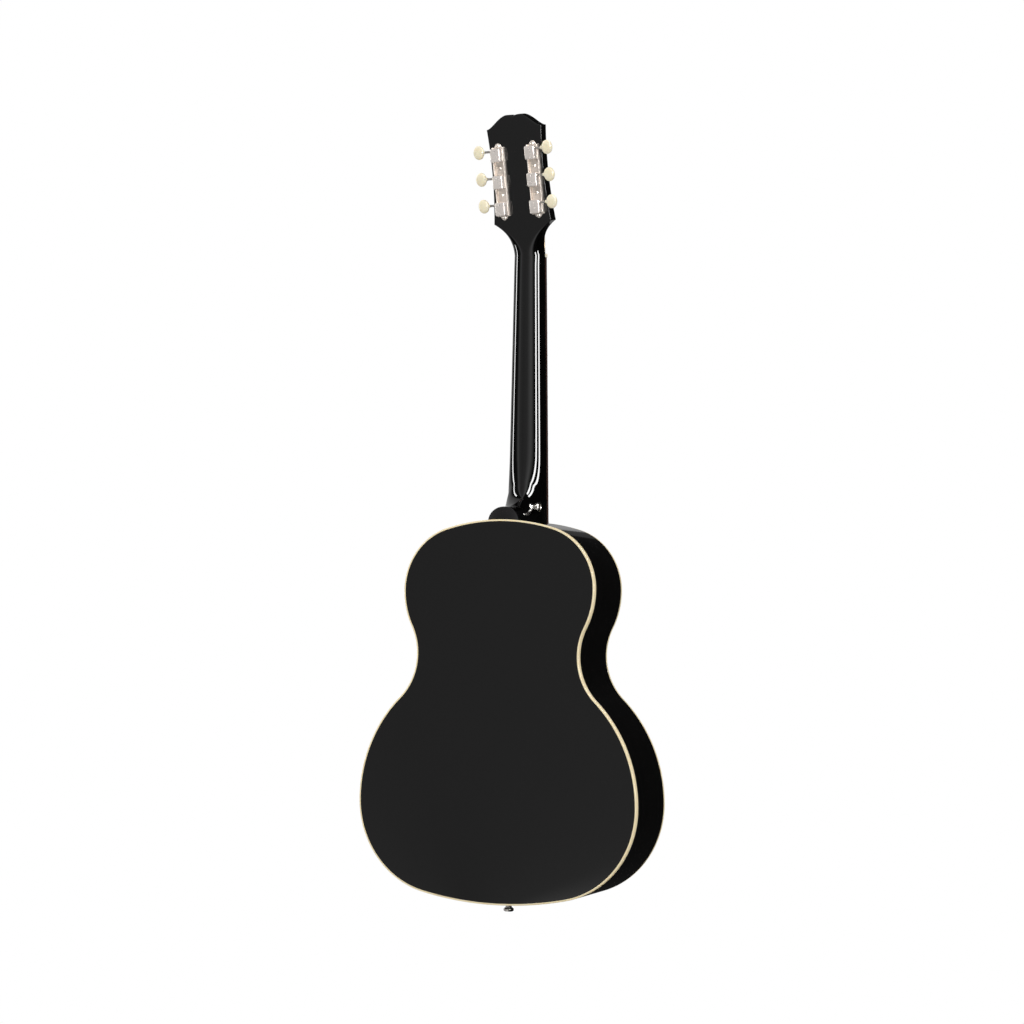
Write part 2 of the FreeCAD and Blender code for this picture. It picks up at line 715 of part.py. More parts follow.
def bridge():
    body = doc.addObject("PartDesign::Body", "bridge_body")
    half, flat = "bridge_width / 2", "bridge_flat_width / 2"
    profile = [
        (f"-({half})", "0"), (half, "0"), (half, "bridge_wing_thickness"),
        (flat, "bridge_thickness"), (f"-({flat})", "bridge_thickness"),
        (f"-({half})", "bridge_wing_thickness"),
    ]
    drawing = polygon(sketch("bridge_profile", body, "XY_Plane"), profile)
    pad = body.newObject("PartDesign::Pad", "bridge_pad")
    pad.Profile = drawing
    bind(pad, Length="bridge_length")
    doc.recompute()
    edges = [f"Edge{position + 1}" for position, edge in enumerate(pad.Shape.Edges)
             if edge.BoundBox.YMin > 0.01]
    rounding = body.newObject("PartDesign::Fillet", "bridge_round")
    rounding.Base = (pad, edges)
    bind(rounding, Radius="bridge_round")
    body.Tip = rounding
    place(body, y="front", z="bridge_low")
    slot = saddle_block("saddle_slot", "bridge_thickness")
    pins, bores = [], []
    for index in range(STRING_COUNT):
        x = f"string_spread_saddle * {index / (STRING_COUNT - 1) - 0.5}"
        bores.append(rod(f"pin_bore_{index + 1}", "-Y", "pin_radius", "pin_shank + 4",
                         x, "front + bridge_thickness + 1", "pin_height"))
        pin = turned(f"pin_{index + 1}", [
            ("0", "-pin_shank"), ("pin_radius * 0.8", "-pin_shank"), ("pin_radius", "-pin_shank + 1.5"),
            ("pin_radius", "0"), ("pin_head_radius", "0"), ("pin_head_radius", "pin_head_height * 0.45"),
            ("pin_head_radius * 0.72", "pin_head_height * 0.85"), ("0", "pin_head_height")], "Y")
        pins.append(place(pin, x, "front + bridge_thickness", "pin_height"))
    node("bridge", cut("bridge_cut", body, slot, STRING_ROOMS, *bores))
    node("saddle", cut("saddle_cut", saddle_block("saddle_blank", "string_height_saddle + 0.3"),
                       STRING_ROOMS))
    node("bridge_pins", cut("pins_cut", group("pin_group", *pins), STRING_ROOMS))
    node("bridge_plate", cut("bridge_plate_bored", BRIDGE_PLATE, STRING_ROOMS, *bores))
    return bores


def saddle_block(name, top):
    """The saddle's own block, from the floor of its slot to a level above the soundboard."""
    item = bind(doc.addObject("Part::Box", name), Length="saddle_width",
                Width=f"({top}) - bridge_thickness + saddle_depth", Height="saddle_thickness")
    item.Placement.Rotation = Rotation(Vector(0, 1, 0), number("saddle_angle"))
    bind(item, Placement__Rotation__Angle="saddle_angle * 1deg")
    angle = "(saddle_angle * 1deg)"
    return place(item, f"-saddle_width / 2 * cos{angle} - saddle_thickness / 2 * sin{angle}",
                 "front + bridge_thickness - saddle_depth",
                 f"saddle_height + saddle_width / 2 * sin{angle} - saddle_thickness / 2 * cos{angle}")


PIN_BORES = bridge()
node("soundboard", cut("soundboard_cut", TOP_LAYER, SOUNDHOLE,
                       cut("rosette_channel", ROSETTE_OUTER, ROSETTE_INNER), STRING_ROOMS, *PIN_BORES))


def pickguard():
    """Teardrop on the treble side: a wide bowl drawn out to a small tip, clear of the rosette."""
    bowl = Vector(-number("guard_bowl_side"), 0, number("soundhole_height - guard_bowl_drop"))
    tip = Vector(-number("guard_tip_side"), 0, number("soundhole_height + guard_tip_rise"))
    radii = (number("guard_bowl_radius"), number("guard_tip_radius"))
    along = tip - bowl
    lean = math.acos((radii[0] - radii[1]) / along.Length)
    heading = math.atan2(along.z, along.x)
    corners = []
    for side in (1, -1):
        out = Vector(math.cos(heading + side * lean), 0, math.sin(heading + side * lean))
        corners.append((bowl + out * radii[0], tip + out * radii[1]))
    ring = [corners[0][0], corners[0][1], corners[1][1], corners[1][0], corners[0][0]]
    thick = Vector(0, number("guard_thickness"), 0)
    web = Part.Face(Part.makePolygon(ring)).extrude(thick)
    ends = [Part.makeCylinder(radius, thick.y, centre, Vector(0, 1, 0))
            for radius, centre in zip(radii, (bowl, tip))]
    plate = web.fuse(ends).removeSplitter()
    item = feature("pickguard_plate", plate)
    place(item, y="front")
    room = rod("guard_clear", "Y", "rosette_outer_radius + guard_clearance", "tail_depth", "0", "front / 2",
               "soundhole_height")
    node("pickguard", cut("pickguard_cut", item, room))


pickguard()


# ---- Neck -------------------------------------------------------------------------------------

def neck_section(half, depth, roundness):
    """Closed section with a flat front and a back whose corners are quarter ellipses.

    roundness runs from near 1, a half-round neck, down to 0, a plain rectangle.
    """
    wide, deep = half * roundness, depth * roundness
    front_left, front_right = Vector(-half, 0, 0), Vector(half, 0, 0)
    side_right, side_left = Vector(half, deep - depth, 0), Vector(-half, deep - depth, 0)
    back_right, back_left = Vector(half - wide, -depth, 0), Vector(wide - half, -depth, 0)
    if wide >= deep:
        oval = Part.Ellipse(Vector(), wide, deep)
        quarters = ((math.pi * 1.5, math.pi * 2), (math.pi, math.pi * 1.5))
    else:
        oval = Part.Ellipse(Vector(0, deep, 0), Vector(wide, 0, 0), Vector())
        quarters = ((math.pi, math.pi * 1.5), (math.pi * 0.5, math.pi))
    right = Part.ArcOfEllipse(oval, *quarters[0]).toShape()
    left = Part.ArcOfEllipse(oval, *quarters[1]).toShape()
    right.translate(Vector(half - wide, deep - depth, 0))
    left.translate(Vector(wide - half, deep - depth, 0))
    return Part.Wire(Part.__sortEdges__([
        Part.makeLine(front_left, front_right), Part.makeLine(front_right, side_right), right,
        Part.makeLine(back_right, back_left), left, Part.makeLine(side_left, front_left)]))


def neck_half(z):
    """Half the neck's width at a height above the tail: an even taper from heel to nut."""
    share = (z - number("body_length")) / (number("nut_height") - number("body_length"))
    return number("heel_width") / 2 + share * number("nut_width - heel_width") / 2


def neck_shaft():
    """Tapered half-round bar under the fingerboard, from inside the heel to the nut's far edge."""
    sections = []
    low, high = number("body_length - 2"), number("head_start")
    for share in (0.0, 0.5, 1.0):
        z = low + share * (high - low)
        depth = number("neck_depth_heel") + share * number("neck_depth_nut - neck_depth_heel")
        wire = neck_section(neck_half(z), depth, 0.97)
        wire.translate(Vector(0, number("front"), z))
        sections.append(wire)
    return Part.makeLoft(sections, True)


def throat():
    """Start of the headstock, where the round neck spreads and squares off into the flat back."""
    wires = []
    start, wood = number("nut_width / 2 - 0.1"), number("head_thickness - veneer_thickness")
    height, corner = number("head_corner_height"), number("head_corner_half")
    first_depth = number("neck_depth_nut - veneer_thickness")
    for step in range(7):
        share = step / 6
        half = start + (corner - start) * share ** 3.5
        depth = first_depth + (wood - first_depth) * share
        wire = neck_section(half, depth, 0.97 - 0.87 * share)
        wire.translate(Vector(0, -number("veneer_thickness"), share * height))
        wires.append(wire)
    solid = Part.makeLoft(wires, True)
    return solid.transformed(head_placement().toMatrix())


def head_outline():
    """Face of the headstock above its widest corners: hollow sides, hollow shoulders, two lobes."""
    corner = Vector(number("head_corner_half"), 0, number("head_corner_height") - 0.2)
    top = Vector(number("head_top_half"), 0, number("head_top_height"))
    middle = Vector(number("head_middle_half"), 0, (corner.z + top.z) / 2)
    crest = number("head_crest_height")
    lobe = Vector(number("head_lobe_half"), 0, crest)
    notch = Vector(0, 0, crest - number("head_notch_drop"))
    rise = crest - top.z
    hollow = Vector(top.x * 0.76, 0, top.z + rise * 0.26)
    swell = Vector(top.x * 0.5, 0, top.z + rise * 0.70)
    shoulder = Part.BSplineCurve()
    shoulder.interpolate([top, hollow, swell, lobe])
    brow = Part.Arc(lobe, Vector(lobe.x * 0.45, 0, crest - number("head_notch_drop") * 0.28), notch)
    right = [Part.Arc(corner, middle, top).toShape(), shoulder.toShape(), brow.toShape()]
    left = [edge.mirror(Vector(), Vector(1, 0, 0)) for edge in right]
    foot = Part.makeLine(Vector(-corner.x, 0, corner.z), corner)
    return Part.Face(Part.Wire(Part.__sortEdges__([foot] + right + left)))


def head_slab(front_text, back_text):
    """The headstock's outline between two levels behind its front face."""
    face = head_outline()
    face.translate(Vector(0, number(f"-({back_text})"), 0))
    return face.extrude(Vector(0, number(f"({back_text}) - ({front_text})"), 0))


def heel():
    """Block that deepens the neck to the back of the body, sweeping up into the shaft."""
    wires = []
    low = number("heel_end + heel_cap_thickness")
    high = number("front - neck_depth_heel + 3.5")
    narrow, wide = number("heel_cap_width / 2"), number("heel_width / 2 - 0.6")
    flat = number("body_length - 2")
    for step in range(7):
        share = step / 6
        half = narrow + (wide - narrow) * share ** 2
        reach = number("heel_cap_length + 2") + number("heel_sweep") * share ** 3
        level = low + (high - low) * share
        wires.append(heel_section(half, reach, level, flat))
    return Part.makeLoft(wires, True)


def heel_section(half, reach, level, flat):
    """Half oval at one depth, with its straight side against the body."""
    if reach >= half:
        oval = Part.Ellipse(Vector(0, 0, reach), Vector(half, 0, 0), Vector())
        arc = Part.ArcOfEllipse(oval, -math.pi / 2, math.pi / 2).toShape()
    else:
        oval = Part.Ellipse(Vector(half, 0, 0), Vector(0, 0, reach), Vector())
        arc = Part.ArcOfEllipse(oval, 0, math.pi).toShape()
    ends = [vertex.Point for vertex in arc.Vertexes]
    wire = Part.Wire(Part.__sortEdges__([arc, Part.makeLine(ends[1], ends[0])]))
    wire.translate(Vector(0, level, flat))
    return wire


def neck():
    wood = feature("neck_wood", neck_shaft().fuse([
        throat(), heel(),
        head_slab("veneer_thickness", "head_thickness").transformed(head_placement().toMatrix())]))
    channel = box("rod_channel", "-channel_width / 2", "rod_level - channel_floor",
                  "body_length + rod_anchor_length / 2", "channel_width", "rod_depth + channel_floor + 1",
                  "head_start - body_length")
    pocket = box("rod_pocket", "-pocket_width / 2", "rod_level - pocket_width / 2 + 0.4", "head_start + 1",
                 "pocket_width", "rod_depth + pocket_width", "pocket_length")
    posts = []
    for side in (1, -1):
        for rank in range(3):
            hole = rod(f"post_hole_{side + 2}{rank}", "-Y", "bushing_radius", "head_thickness + 4",
                       f"{side} * tuner_half_spread", "2", post_height_on_head(rank))
            posts.append(hole)
    on_face = on_head(group("post_holes", *posts))
    spot = rod("heel_spot", "X", "strap_base_radius + 0.6", "heel_width", "heel_button_seat",
               "front - heel_button_drop", "body_length + heel_button_rise")
    screw = rod("heel_screw_room", "-X", "strap_screw_radius", "strap_screw_length",
                "heel_button_seat + 1", "front - heel_button_drop", "body_length + heel_button_rise")
    fitted = cut("neck_fitted", wood, BODY_OUTER)
    whole = joined("neck_whole", fitted, common("tenon_in", TENON, BODY_OUTER))
    node("neck", cut("neck_cut", whole, channel, pocket, on_face, spot, screw, PLATE_SCREW_ROOM, COVER_SCREW_ROOM))
    slab = head_slab("0", "veneer_thickness").transformed(head_placement().toMatrix())
    wires = []
    for step in range(7):
        share = step / 6
        half = number("nut_width / 2 - 0.1") + number("head_corner_half - nut_width / 2 + 0.1") * share ** 3.5
        wire = Part.makePolygon([Vector(-half, 0, 0), Vector(half, 0, 0),
                                 Vector(half, -number("veneer_thickness"), 0),
                                 Vector(-half, -number("veneer_thickness"), 0), Vector(-half, 0, 0)])
        wire.translate(Vector(0, 0, 0.6 + share * number("head_corner_height - 0.6")))
        wires.append(wire)
    tongue = Part.makeLoft(wires, True).transformed(head_placement().toMatrix())
    veneer = feature("veneer_sheet", slab.fuse(tongue))
    node("headstock_veneer", cut("veneer_cut", veneer, on_face, pocket, COVER_SCREW_ROOM))
    cap = heel_section(number("heel_cap_width / 2"), number("heel_cap_length + 2"),
                       number("heel_end"), number("body_length - 2"))
    cap_solid = Part.Face(cap).extrude(Vector(0, number("heel_cap_thickness"), 0))
    node("heel_cap", cut("heel_cap_cut", feature("heel_cap_plate", cap_solid), BODY_OUTER))


def fingerboard():
    """Tapered board with a rounded face, its frets, dots and nut."""
    low, high, seat = number("board_end"), number("nut_height"), number("front")
    corners = [Vector(side * neck_half(z), seat, z) for side, z in ((-1, low), (1, low), (1, high), (-1, high))]
    blank = Part.Face(Part.makePolygon(corners + corners[:1])).extrude(Vector(0, number("board_thickness"), 0))
    radius = number("board_radius")
    centre = Vector(0, number("board_top") - radius, 0)
    crown = Part.makeCylinder(radius, high - low, centre + Vector(0, 0, low))
    frets = [fret_at(position, centre, radius) for position in range(1, int(number("fret_count")) + 1)]
    blank = blank.common(crown)
    markers = []
    spread = number("marker_spread / 2")
    for position, sides in ((3, (0,)), (5, (0,)), (7, (0,)), (9, (0,)), (12, (-1, 1)), (15, (0,))):
        middle = (fret_height(position) + fret_height(position - 1)) / 2
        for side in sides:
            dot = Part.makeCylinder(number("marker_radius"), number("marker_depth") + 1,
                                    Vector(side * spread, number("board_top - marker_depth") - 0.3 * abs(side),
                                           middle), Vector(0, 1, 0))
            markers.append(dot.common(crown))
    node("fingerboard", feature("fingerboard_wood", blank.cut(frets + markers)))
    node("frets", feature("fret_wires", Part.makeCompound(frets)))
    node("fret_markers", feature("marker_dots", Part.makeCompound(markers)))
    nut_blank = box("nut_blank", "-nut_width / 2", "front", "nut_height", "nut_width", "nut_seat",
                    "nut_thickness")
    doc.recompute()
    rounding = doc.addObject("Part::Fillet", "nut_round")
    ease = number("nut_round")
    rounding.Base = nut_blank
    rounding.Edges = [(position + 1, ease, ease) for position, edge in enumerate(nut_blank.Shape.Edges)
                      if edge.BoundBox.YMin > number("front + nut_seat") - 0.01
                      and edge.BoundBox.XLength > number("nut_width") / 2
                      and edge.BoundBox.ZMin > number("head_start") - 0.01]
    node("nut", cut("nut_cut", rounding, feature("nut_slots", Part.makeCompound(nut_slots()))))


def nut_slots():
    """Open slots whose floors start level and then fall away towards the posts."""
    slots = []
    spare, rise = number("string_clearance"), number("nut_seat")
    for diameter, route in ((size, string_route(index)) for index, size in enumerate(STRING_DIAMETERS)):
        start, run = route[4], route[5] - route[4]
        level_run = math.hypot(run.x, run.z)
        half = diameter / 2 + spare
        reach, ahead = 2 * number("nut_thickness"), number("nut_thickness / 2")
        floor = start.y - half
        corners = [(-ahead, floor), (0, floor), (reach, floor + reach * run.y / level_run),
                   (reach, floor + rise), (-ahead, floor + rise)]
        ring = [Vector(start.x - half, y, start.z + z) for z, y in corners]
        slot = Part.Face(Part.makePolygon(ring + ring[:1])).extrude(Vector(2 * half, 0, 0))
        slot.rotate(start, Vector(0, 1, 0), math.degrees(math.atan2(run.x, run.z)))
        slots.append(slot)
    return slots


def fret_height(position):
    return number("nut_height - scale_length") + number("scale_length") / 2 ** (position / 12)


def fret_at(position, centre, radius):
    """One fret: a half-round crown on a thin tang, turned about the board's own axis."""
    z = fret_height(position)
    half, thin = number("fret_crown / 2"), number("fret_tang_width / 2")
    top, deep = radius, number("fret_tang")
    lift = number("fret_height")
    left, right = Vector(0, top, -half), Vector(0, top, half)
    edges = [Part.Arc(left, Vector(0, top + lift, 0), right).toShape(),
             Part.makeLine(right, Vector(0, top, thin)),
             Part.makeLine(Vector(0, top, thin), Vector(0, top - deep, thin)),
             Part.makeLine(Vector(0, top - deep, thin), Vector(0, top - deep, -thin)),
             Part.makeLine(Vector(0, top - deep, -thin), Vector(0, top, -thin)),
             Part.makeLine(Vector(0, top, -thin), left)]
    face = Part.Face(Part.Wire(edges))
    swing = math.degrees(math.asin((neck_half(z) - number("fret_setback")) / radius))
    face.rotate(Vector(), Vector(0, 0, 1), -swing)
    solid = face.revolve(Vector(), Vector(0, 0, 1), 2 * swing)
    solid.translate(centre + Vector(0, 0, z))
    return solid


def truss_rod():
    rod_bar = rod("rod_bar", "Z", "rod_radius", "nut_height - body_length", "0", "rod_level",
                   "body_length + rod_anchor_length")
    low = "body_length + rod_anchor_length / 2"
    anchor = box("rod_anchor", "-channel_width / 2", "rod_level - channel_floor", low,
                 "channel_width", "2 * channel_floor", "rod_anchor_length")
    node("truss_rod", joined("rod_joined", anchor, rod_bar))
    start = "head_start + rod_nut_gap"
    across_corners = number("rod_nut_flats") / math.sqrt(3)
    ring = [Vector(across_corners * math.cos(math.radians(60 * step)),
                   across_corners * math.sin(math.radians(60 * step)), 0) for step in range(7)]
    prism = Part.Face(Part.makePolygon(ring)).extrude(Vector(0, 0, number("rod_nut_length")))
    hexagon = place(feature("rod_nut_hexagon", prism), "0", "rod_level", start)
    bore = rod("rod_nut_bore", "Z", "rod_radius + running_clearance / 2", "rod_nut_length * 2",
               "0", "rod_level", f"{start} - 1")
    node("truss_rod_nut", cut("rod_nut_cut", hexagon, bore))


def rod_cover():
    """Bell-shaped plate over the truss rod's pocket, with its two screws; returns their room."""
    half, tall = number("rod_cover_width / 2"), number("rod_cover_length")
    thick = number("rod_cover_thickness")
    foot = number("rod_cover_start")
    waist, crown = Vector(half * 0.52, 0, foot + tall * 0.52), Vector(half * 0.4, 0, foot + tall * 0.82)
    flank = Part.BSplineCurve()
    flank.interpolate([Vector(half, 0, foot), Vector(half * 0.86, 0, foot + tall * 0.2), waist, crown])
    cap = Part.Arc(crown, Vector(0, 0, foot + tall), Vector(-crown.x, 0, crown.z)).toShape()
    edges = [flank.toShape(), flank.toShape().mirror(Vector(), Vector(1, 0, 0)), cap,
             Part.makeLine(Vector(half, 0, foot), Vector(-half, 0, foot))]
    bell = Part.Face(Part.Wire(Part.__sortEdges__(edges))).extrude(Vector(0, thick, 0))
    plate = feature("rod_cover_bell", bell)
    spots = [("0", f"{foot + tall} - 4.5"), ("rod_cover_width / 2 - 3.6", f"{foot} + 3.2"),
             ("-(rod_cover_width / 2 - 3.6)", f"{foot} + 3.2")]
    rooms, heads = [], []
    for index, (x, z) in enumerate(spots):
        rooms.append(rod(f"cover_bore_{index}", "-Y", "screw_shank_radius", "screw_shank_length",
                         x, "rod_cover_thickness", z))
        heads.append(wood_screw(f"cover_screw_{index}", x, "rod_cover_thickness", z, "Y", "6"))
    bores = group("cover_bores", *rooms)
    node("truss_rod_cover", on_head(cut("rod_cover_cut", plate, bores)))
    node("cover_screws", on_head(group("cover_screw_group", *heads)))
    spare = [rod(f"cover_room_{index}", "-Y", "screw_shank_radius", "6 - rod_cover_thickness", x, "0", z)
             for index, (x, z) in enumerate(spots)]
    return on_head(group("cover_screw_room", *spare))


def wood_screw(name, x, y, z, axis, reach):
    """Round-headed screw whose head sits at a place; its shank goes the other way."""
    screw = turned(name, [
        ("0", f"-({reach})"), ("screw_shank_radius", f"-({reach}) + 1.5"), ("screw_shank_radius", "0"),
        ("screw_head_radius", "0"), ("screw_head_radius * 0.86", "screw_head_height * 0.55"),
        ("screw_head_radius * 0.45", "screw_head_height * 0.92"), ("0", "screw_head_height")], axis)
    return place(screw, x, y, z)


# ---- Tuners -----------------------------------------------------------------------------------

def shaft_height(rank):
    return f"(tuner_first_height + {rank} * tuner_spacing)"


def gear_solid():
    """Worm wheel about +Y: straight-flanked teeth that lean with the worm's thread."""
    teeth = int(number("gear_teeth"))
    root, tip = number("gear_root_radius"), number("gear_tip_radius")
    width, tooth = number("gear_width"), number("gear_tooth")
    wires = []
    for level in (-width / 2, width / 2):
        # The head's +Y is the front, so a tooth leans the other way from the one seen behind.
        twist = level * number("thread_lean") / number("gear_pitch_radius")
        points = []
        for index in range(teeth):
            middle = math.pi / 2 + math.pi / teeth + index * 2 * math.pi / teeth + twist
            for radius, half in ((root, 0.64 * tooth), (tip, 0.34 * tooth)):
                points.append((radius, middle + half / radius))
            for radius, half in ((tip, 0.34 * tooth), (root, 0.64 * tooth)):
                points.append((radius, middle - half / radius))
        ordered = []
        for index in range(teeth):
            part = points[index * 4:index * 4 + 4]
            ordered += [part[3], part[2], part[1], part[0]]
        ring = [Vector(r * math.cos(a), level, r * math.sin(a)) for r, a in ordered]
        wires.append(Part.makePolygon(ring + ring[:1]))
    return Part.makeLoft(wires, True, True)


def post(name, side, rank):
    """String post: bearing length, waist for the string, cap, and the worm wheel on its tail."""
    shape = [("0", "shaft_level - gear_width / 2 - post_screw_height"),
             ("post_screw_radius", "shaft_level - gear_width / 2 - post_screw_height"),
             ("post_screw_radius", "shaft_level - gear_width / 2"),
             ("post_radius", "shaft_level - gear_width / 2"), ("post_radius", "post_waist_start"),
             ("post_waist_radius", "post_waist_start + 0.7"), ("post_waist_radius", "post_waist_end - 0.7"),
             ("post_radius", "post_waist_end"), ("post_radius", "post_height - 0.6"),
             ("post_radius - 0.6", "post_height"), ("0", "post_height")]
    stem = turned(name + "_stem", shape, "Y")
    wheel = feature(name + "_wheel", gear_solid())
    place(wheel, y="shaft_level")
    eye = rod(name + "_eye", "X", "post_eye_radius", "4 * post_radius", "-2 * post_radius",
              "(post_waist_start + post_waist_end) / 2")
    whole = cut(name + "_cut", joined(name + "_joined", stem, wheel), eye)
    place(whole, f"{side} * tuner_half_spread", "0", post_height_on_head(rank))
    return on_head(group(name + "_group", whole))


def worm_thread():
    """Single right-handed thread about +X, whose ridge faces the wheel at the middle of the shaft."""
    pitch, core, tip = number("worm_pitch"), number("worm_core_radius"), number("worm_tip_radius")
    half = number("worm_half_length")
    turns = math.floor(2 * (half - 0.7) / pitch)
    length = turns * pitch
    spine = Part.makeHelix(pitch, length, core)
    root_half, tip_half = number("worm_thread") * 0.62, number("worm_thread") * 0.34
    inner = core - 0.15
    profile = Part.makePolygon([Vector(inner, 0, -root_half), Vector(tip, 0, -tip_half),
                                Vector(tip, 0, tip_half), Vector(inner, 0, root_half),
                                Vector(inner, 0, -root_half)])
    ridge = Part.Wire(spine).makePipeShell([profile], True, True)
    return ridge, length, turns


def worm(name, side, rank):
    """Shaft with its worm: it turns in the plate's lugs and carries the button at its outer end."""
    ridge, length, turns = worm_thread()
    # The helix starts on +X of its own frame; laid along the head's X its ridge must meet -Z at x = 0.
    ridge.translate(Vector(0, 0, -length / 2))
    ridge.rotate(Vector(), Vector(0, 0, 1), 180 * turns)
    ridge = ridge.transformed(Placement(Vector(), Rotation(Vector(0, 1, 0), 90)).toMatrix())
    reach = number("button_centre_half - button_half_width * 0.3 - tuner_half_spread")
    lug = number("lug_inner + lug_thickness")
    radius, core = number("shaft_radius"), number("worm_core_radius")
    half = number("worm_half_length")
    pieces = [Part.makeCylinder(core, 2 * half, Vector(-half, 0, 0), Vector(1, 0, 0)),
              Part.makeCylinder(radius, reach - half, Vector(side * half, 0, 0), Vector(side, 0, 0)),
              Part.makeCylinder(radius, lug - half, Vector(-side * half, 0, 0), Vector(-side, 0, 0))]
    solid = pieces[0].fuse(pieces[1:] + [ridge])
    item = feature(name + "_solid", solid)
    place(item, f"{side} * tuner_half_spread", "shaft_level", shaft_height(rank))
    return on_head(group(name + "_group", item))


def button(name, side, rank):
    """Oval plastic button with a collar, bored for the shaft."""
    oval = doc.addObject("Part::Ellipsoid", name + "_oval")
    oval.Placement = Placement(Vector(), Rotation(Vector(0, 0, 1), 0 if side > 0 else 180))
    bind(oval, Radius1="button_half_height", Radius2="button_half_width", Radius3="button_half_thickness")
    place(oval, f"{side} * button_centre_half", "shaft_level", shaft_height(rank))
    axis = "X" if side > 0 else "-X"
    inner = f"{side} * (button_centre_half - button_half_width)"
    collar = rod(name + "_collar", axis, "button_collar_radius", "button_collar_length + 1",
                 f"{inner} - {side}", "shaft_level", shaft_height(rank))
    bore = rod(name + "_bore", axis, "shaft_radius", "button_half_width * 0.7 + 1",
               f"{inner} - {side}", "shaft_level", shaft_height(rank))
    return on_head(cut(name + "_cut", joined(name + "_joined", oval, collar), bore))


def tuner_plate(name, side):
    """Strip that carries three tuners: rolled edges, a tab at each end and a pair of lugs a worm."""
    low = f"({shaft_height(0)} - plate_margin_low)"
    high = f"({shaft_height(2)} + plate_margin_high)"
    middle = f"{side} * tuner_half_spread"
    back = "head_back - plate_thickness"
    parts = [box(name + "_strip", f"{middle} - plate_half_width", back, low, "2 * plate_half_width",
                 "plate_thickness", f"{high} - {low}")]
    for edge, start in (("inner", "-plate_half_width"), ("outer", "plate_half_width - plate_lip_width")):
        parts.append(box(f"{name}_{edge}_lip", f"{middle} + {start}", f"{back} - plate_lip_height", low,
                         "plate_lip_width", "plate_lip_height", f"{high} - {low}"))
    for end, place_at in (("low", low), ("high", high)):
        parts.append(rod(f"{name}_{end}_tab", "Y", "plate_tab_radius", "plate_thickness", middle, back, place_at))
    holes = []
    for rank in range(3):
        for flank, start in (("left", "-(lug_inner + lug_thickness)"), ("right", "lug_inner")):
            parts.append(box(f"{name}_{flank}_lug_{rank}", f"{middle} + {start}",
                             "shaft_level - lug_half_height", f"{shaft_height(rank)} - lug_half_height",
                             "lug_thickness", f"({back}) - shaft_level + lug_half_height", "2 * lug_half_height"))
        holes.append(rod(f"{name}_journal_{rank}", "X", "shaft_radius + running_clearance",
                         "2 * plate_half_width", f"{middle} - plate_half_width", "shaft_level",
                         shaft_height(rank)))
        holes.append(rod(f"{name}_post_hole_{rank}", "Y", "post_radius + running_clearance",
                         "plate_thickness + 2", middle, f"{back} - 1", post_height_on_head(rank)))
    holes += [rod(f"{name}_screw_hole_{index}", "Y", "screw_shank_radius", "plate_thickness + 2",
                  middle, f"{back} - 1", height) for index, height in enumerate(screw_heights())]
    return on_head(cut(name + "_cut", joined(name + "_joined", *parts), *holes))


def screw_heights():
    """Screws in both end tabs and between the covers."""
    low = f"({shaft_height(0)} - plate_margin_low - plate_tab_radius * 0.3)"
    high = f"({shaft_height(2)} + plate_margin_high + plate_tab_radius * 0.3)"
    gaps = [f"(({shaft_height(rank)} + cover_above + {shaft_height(rank + 1)} - cover_below) / 2)"
            for rank in (0, 1)]
    return [low] + gaps + [high]


def cover(name, side, rank):
    """Stamped box over one worm and wheel, open to the plate, with a hole for oil."""
    middle = f"{side} * tuner_half_spread"
    back = "head_back - plate_thickness"
    low = f"({shaft_height(rank)} - cover_below)"
    outer = box(name + "_outer", f"{middle} - cover_half_width", f"{back} - cover_depth", low,
                "2 * cover_half_width", "cover_depth", "cover_above + cover_below")
    doc.recompute()
    rounding = doc.addObject("Part::Fillet", name + "_round")
    rounding.Base = outer
    edge_round = number("cover_edge_round")
    far = number(f"{back} - cover_depth") + 0.01
    rounding.Edges = [(index + 1, edge_round, edge_round) for index, edge in enumerate(outer.Shape.Edges)
                      if edge.BoundBox.YMax < far]
    inner = box(name + "_inner", f"{middle} - cover_half_width + cover_wall", f"{back} - cover_depth + cover_wall",
                f"{low} + cover_wall", "2 * (cover_half_width - cover_wall)", "cover_depth",
                "cover_above + cover_below - 2 * cover_wall")
    shaft_hole = rod(name + "_shaft_hole", "X" if side > 0 else "-X", "shaft_radius + 4 * running_clearance",
                     "2 * cover_half_width", middle, "shaft_level", shaft_height(rank))
    oil = rod(name + "_oil", "Y", "oil_hole_radius", "cover_wall * 3", middle,
              f"{back} - cover_depth - cover_wall", shaft_height(rank))
    return cut(name + "_cut", rounding, inner, shaft_hole, oil)


def bushing(name, side, rank):
    ring = turned(name, [
        ("post_radius + running_clearance", "-bushing_depth"), ("bushing_radius", "-bushing_depth"),
        ("bushing_radius", "0"), ("bushing_flange_radius", "0"), ("bushing_flange_radius", "bushing_flange * 0.5"),
        ("bushing_flange_radius - 0.9", "bushing_flange"),
        ("post_radius + running_clearance", "bushing_flange")], "Y")
    return place(ring, f"{side} * tuner_half_spread", "0", post_height_on_head(rank))


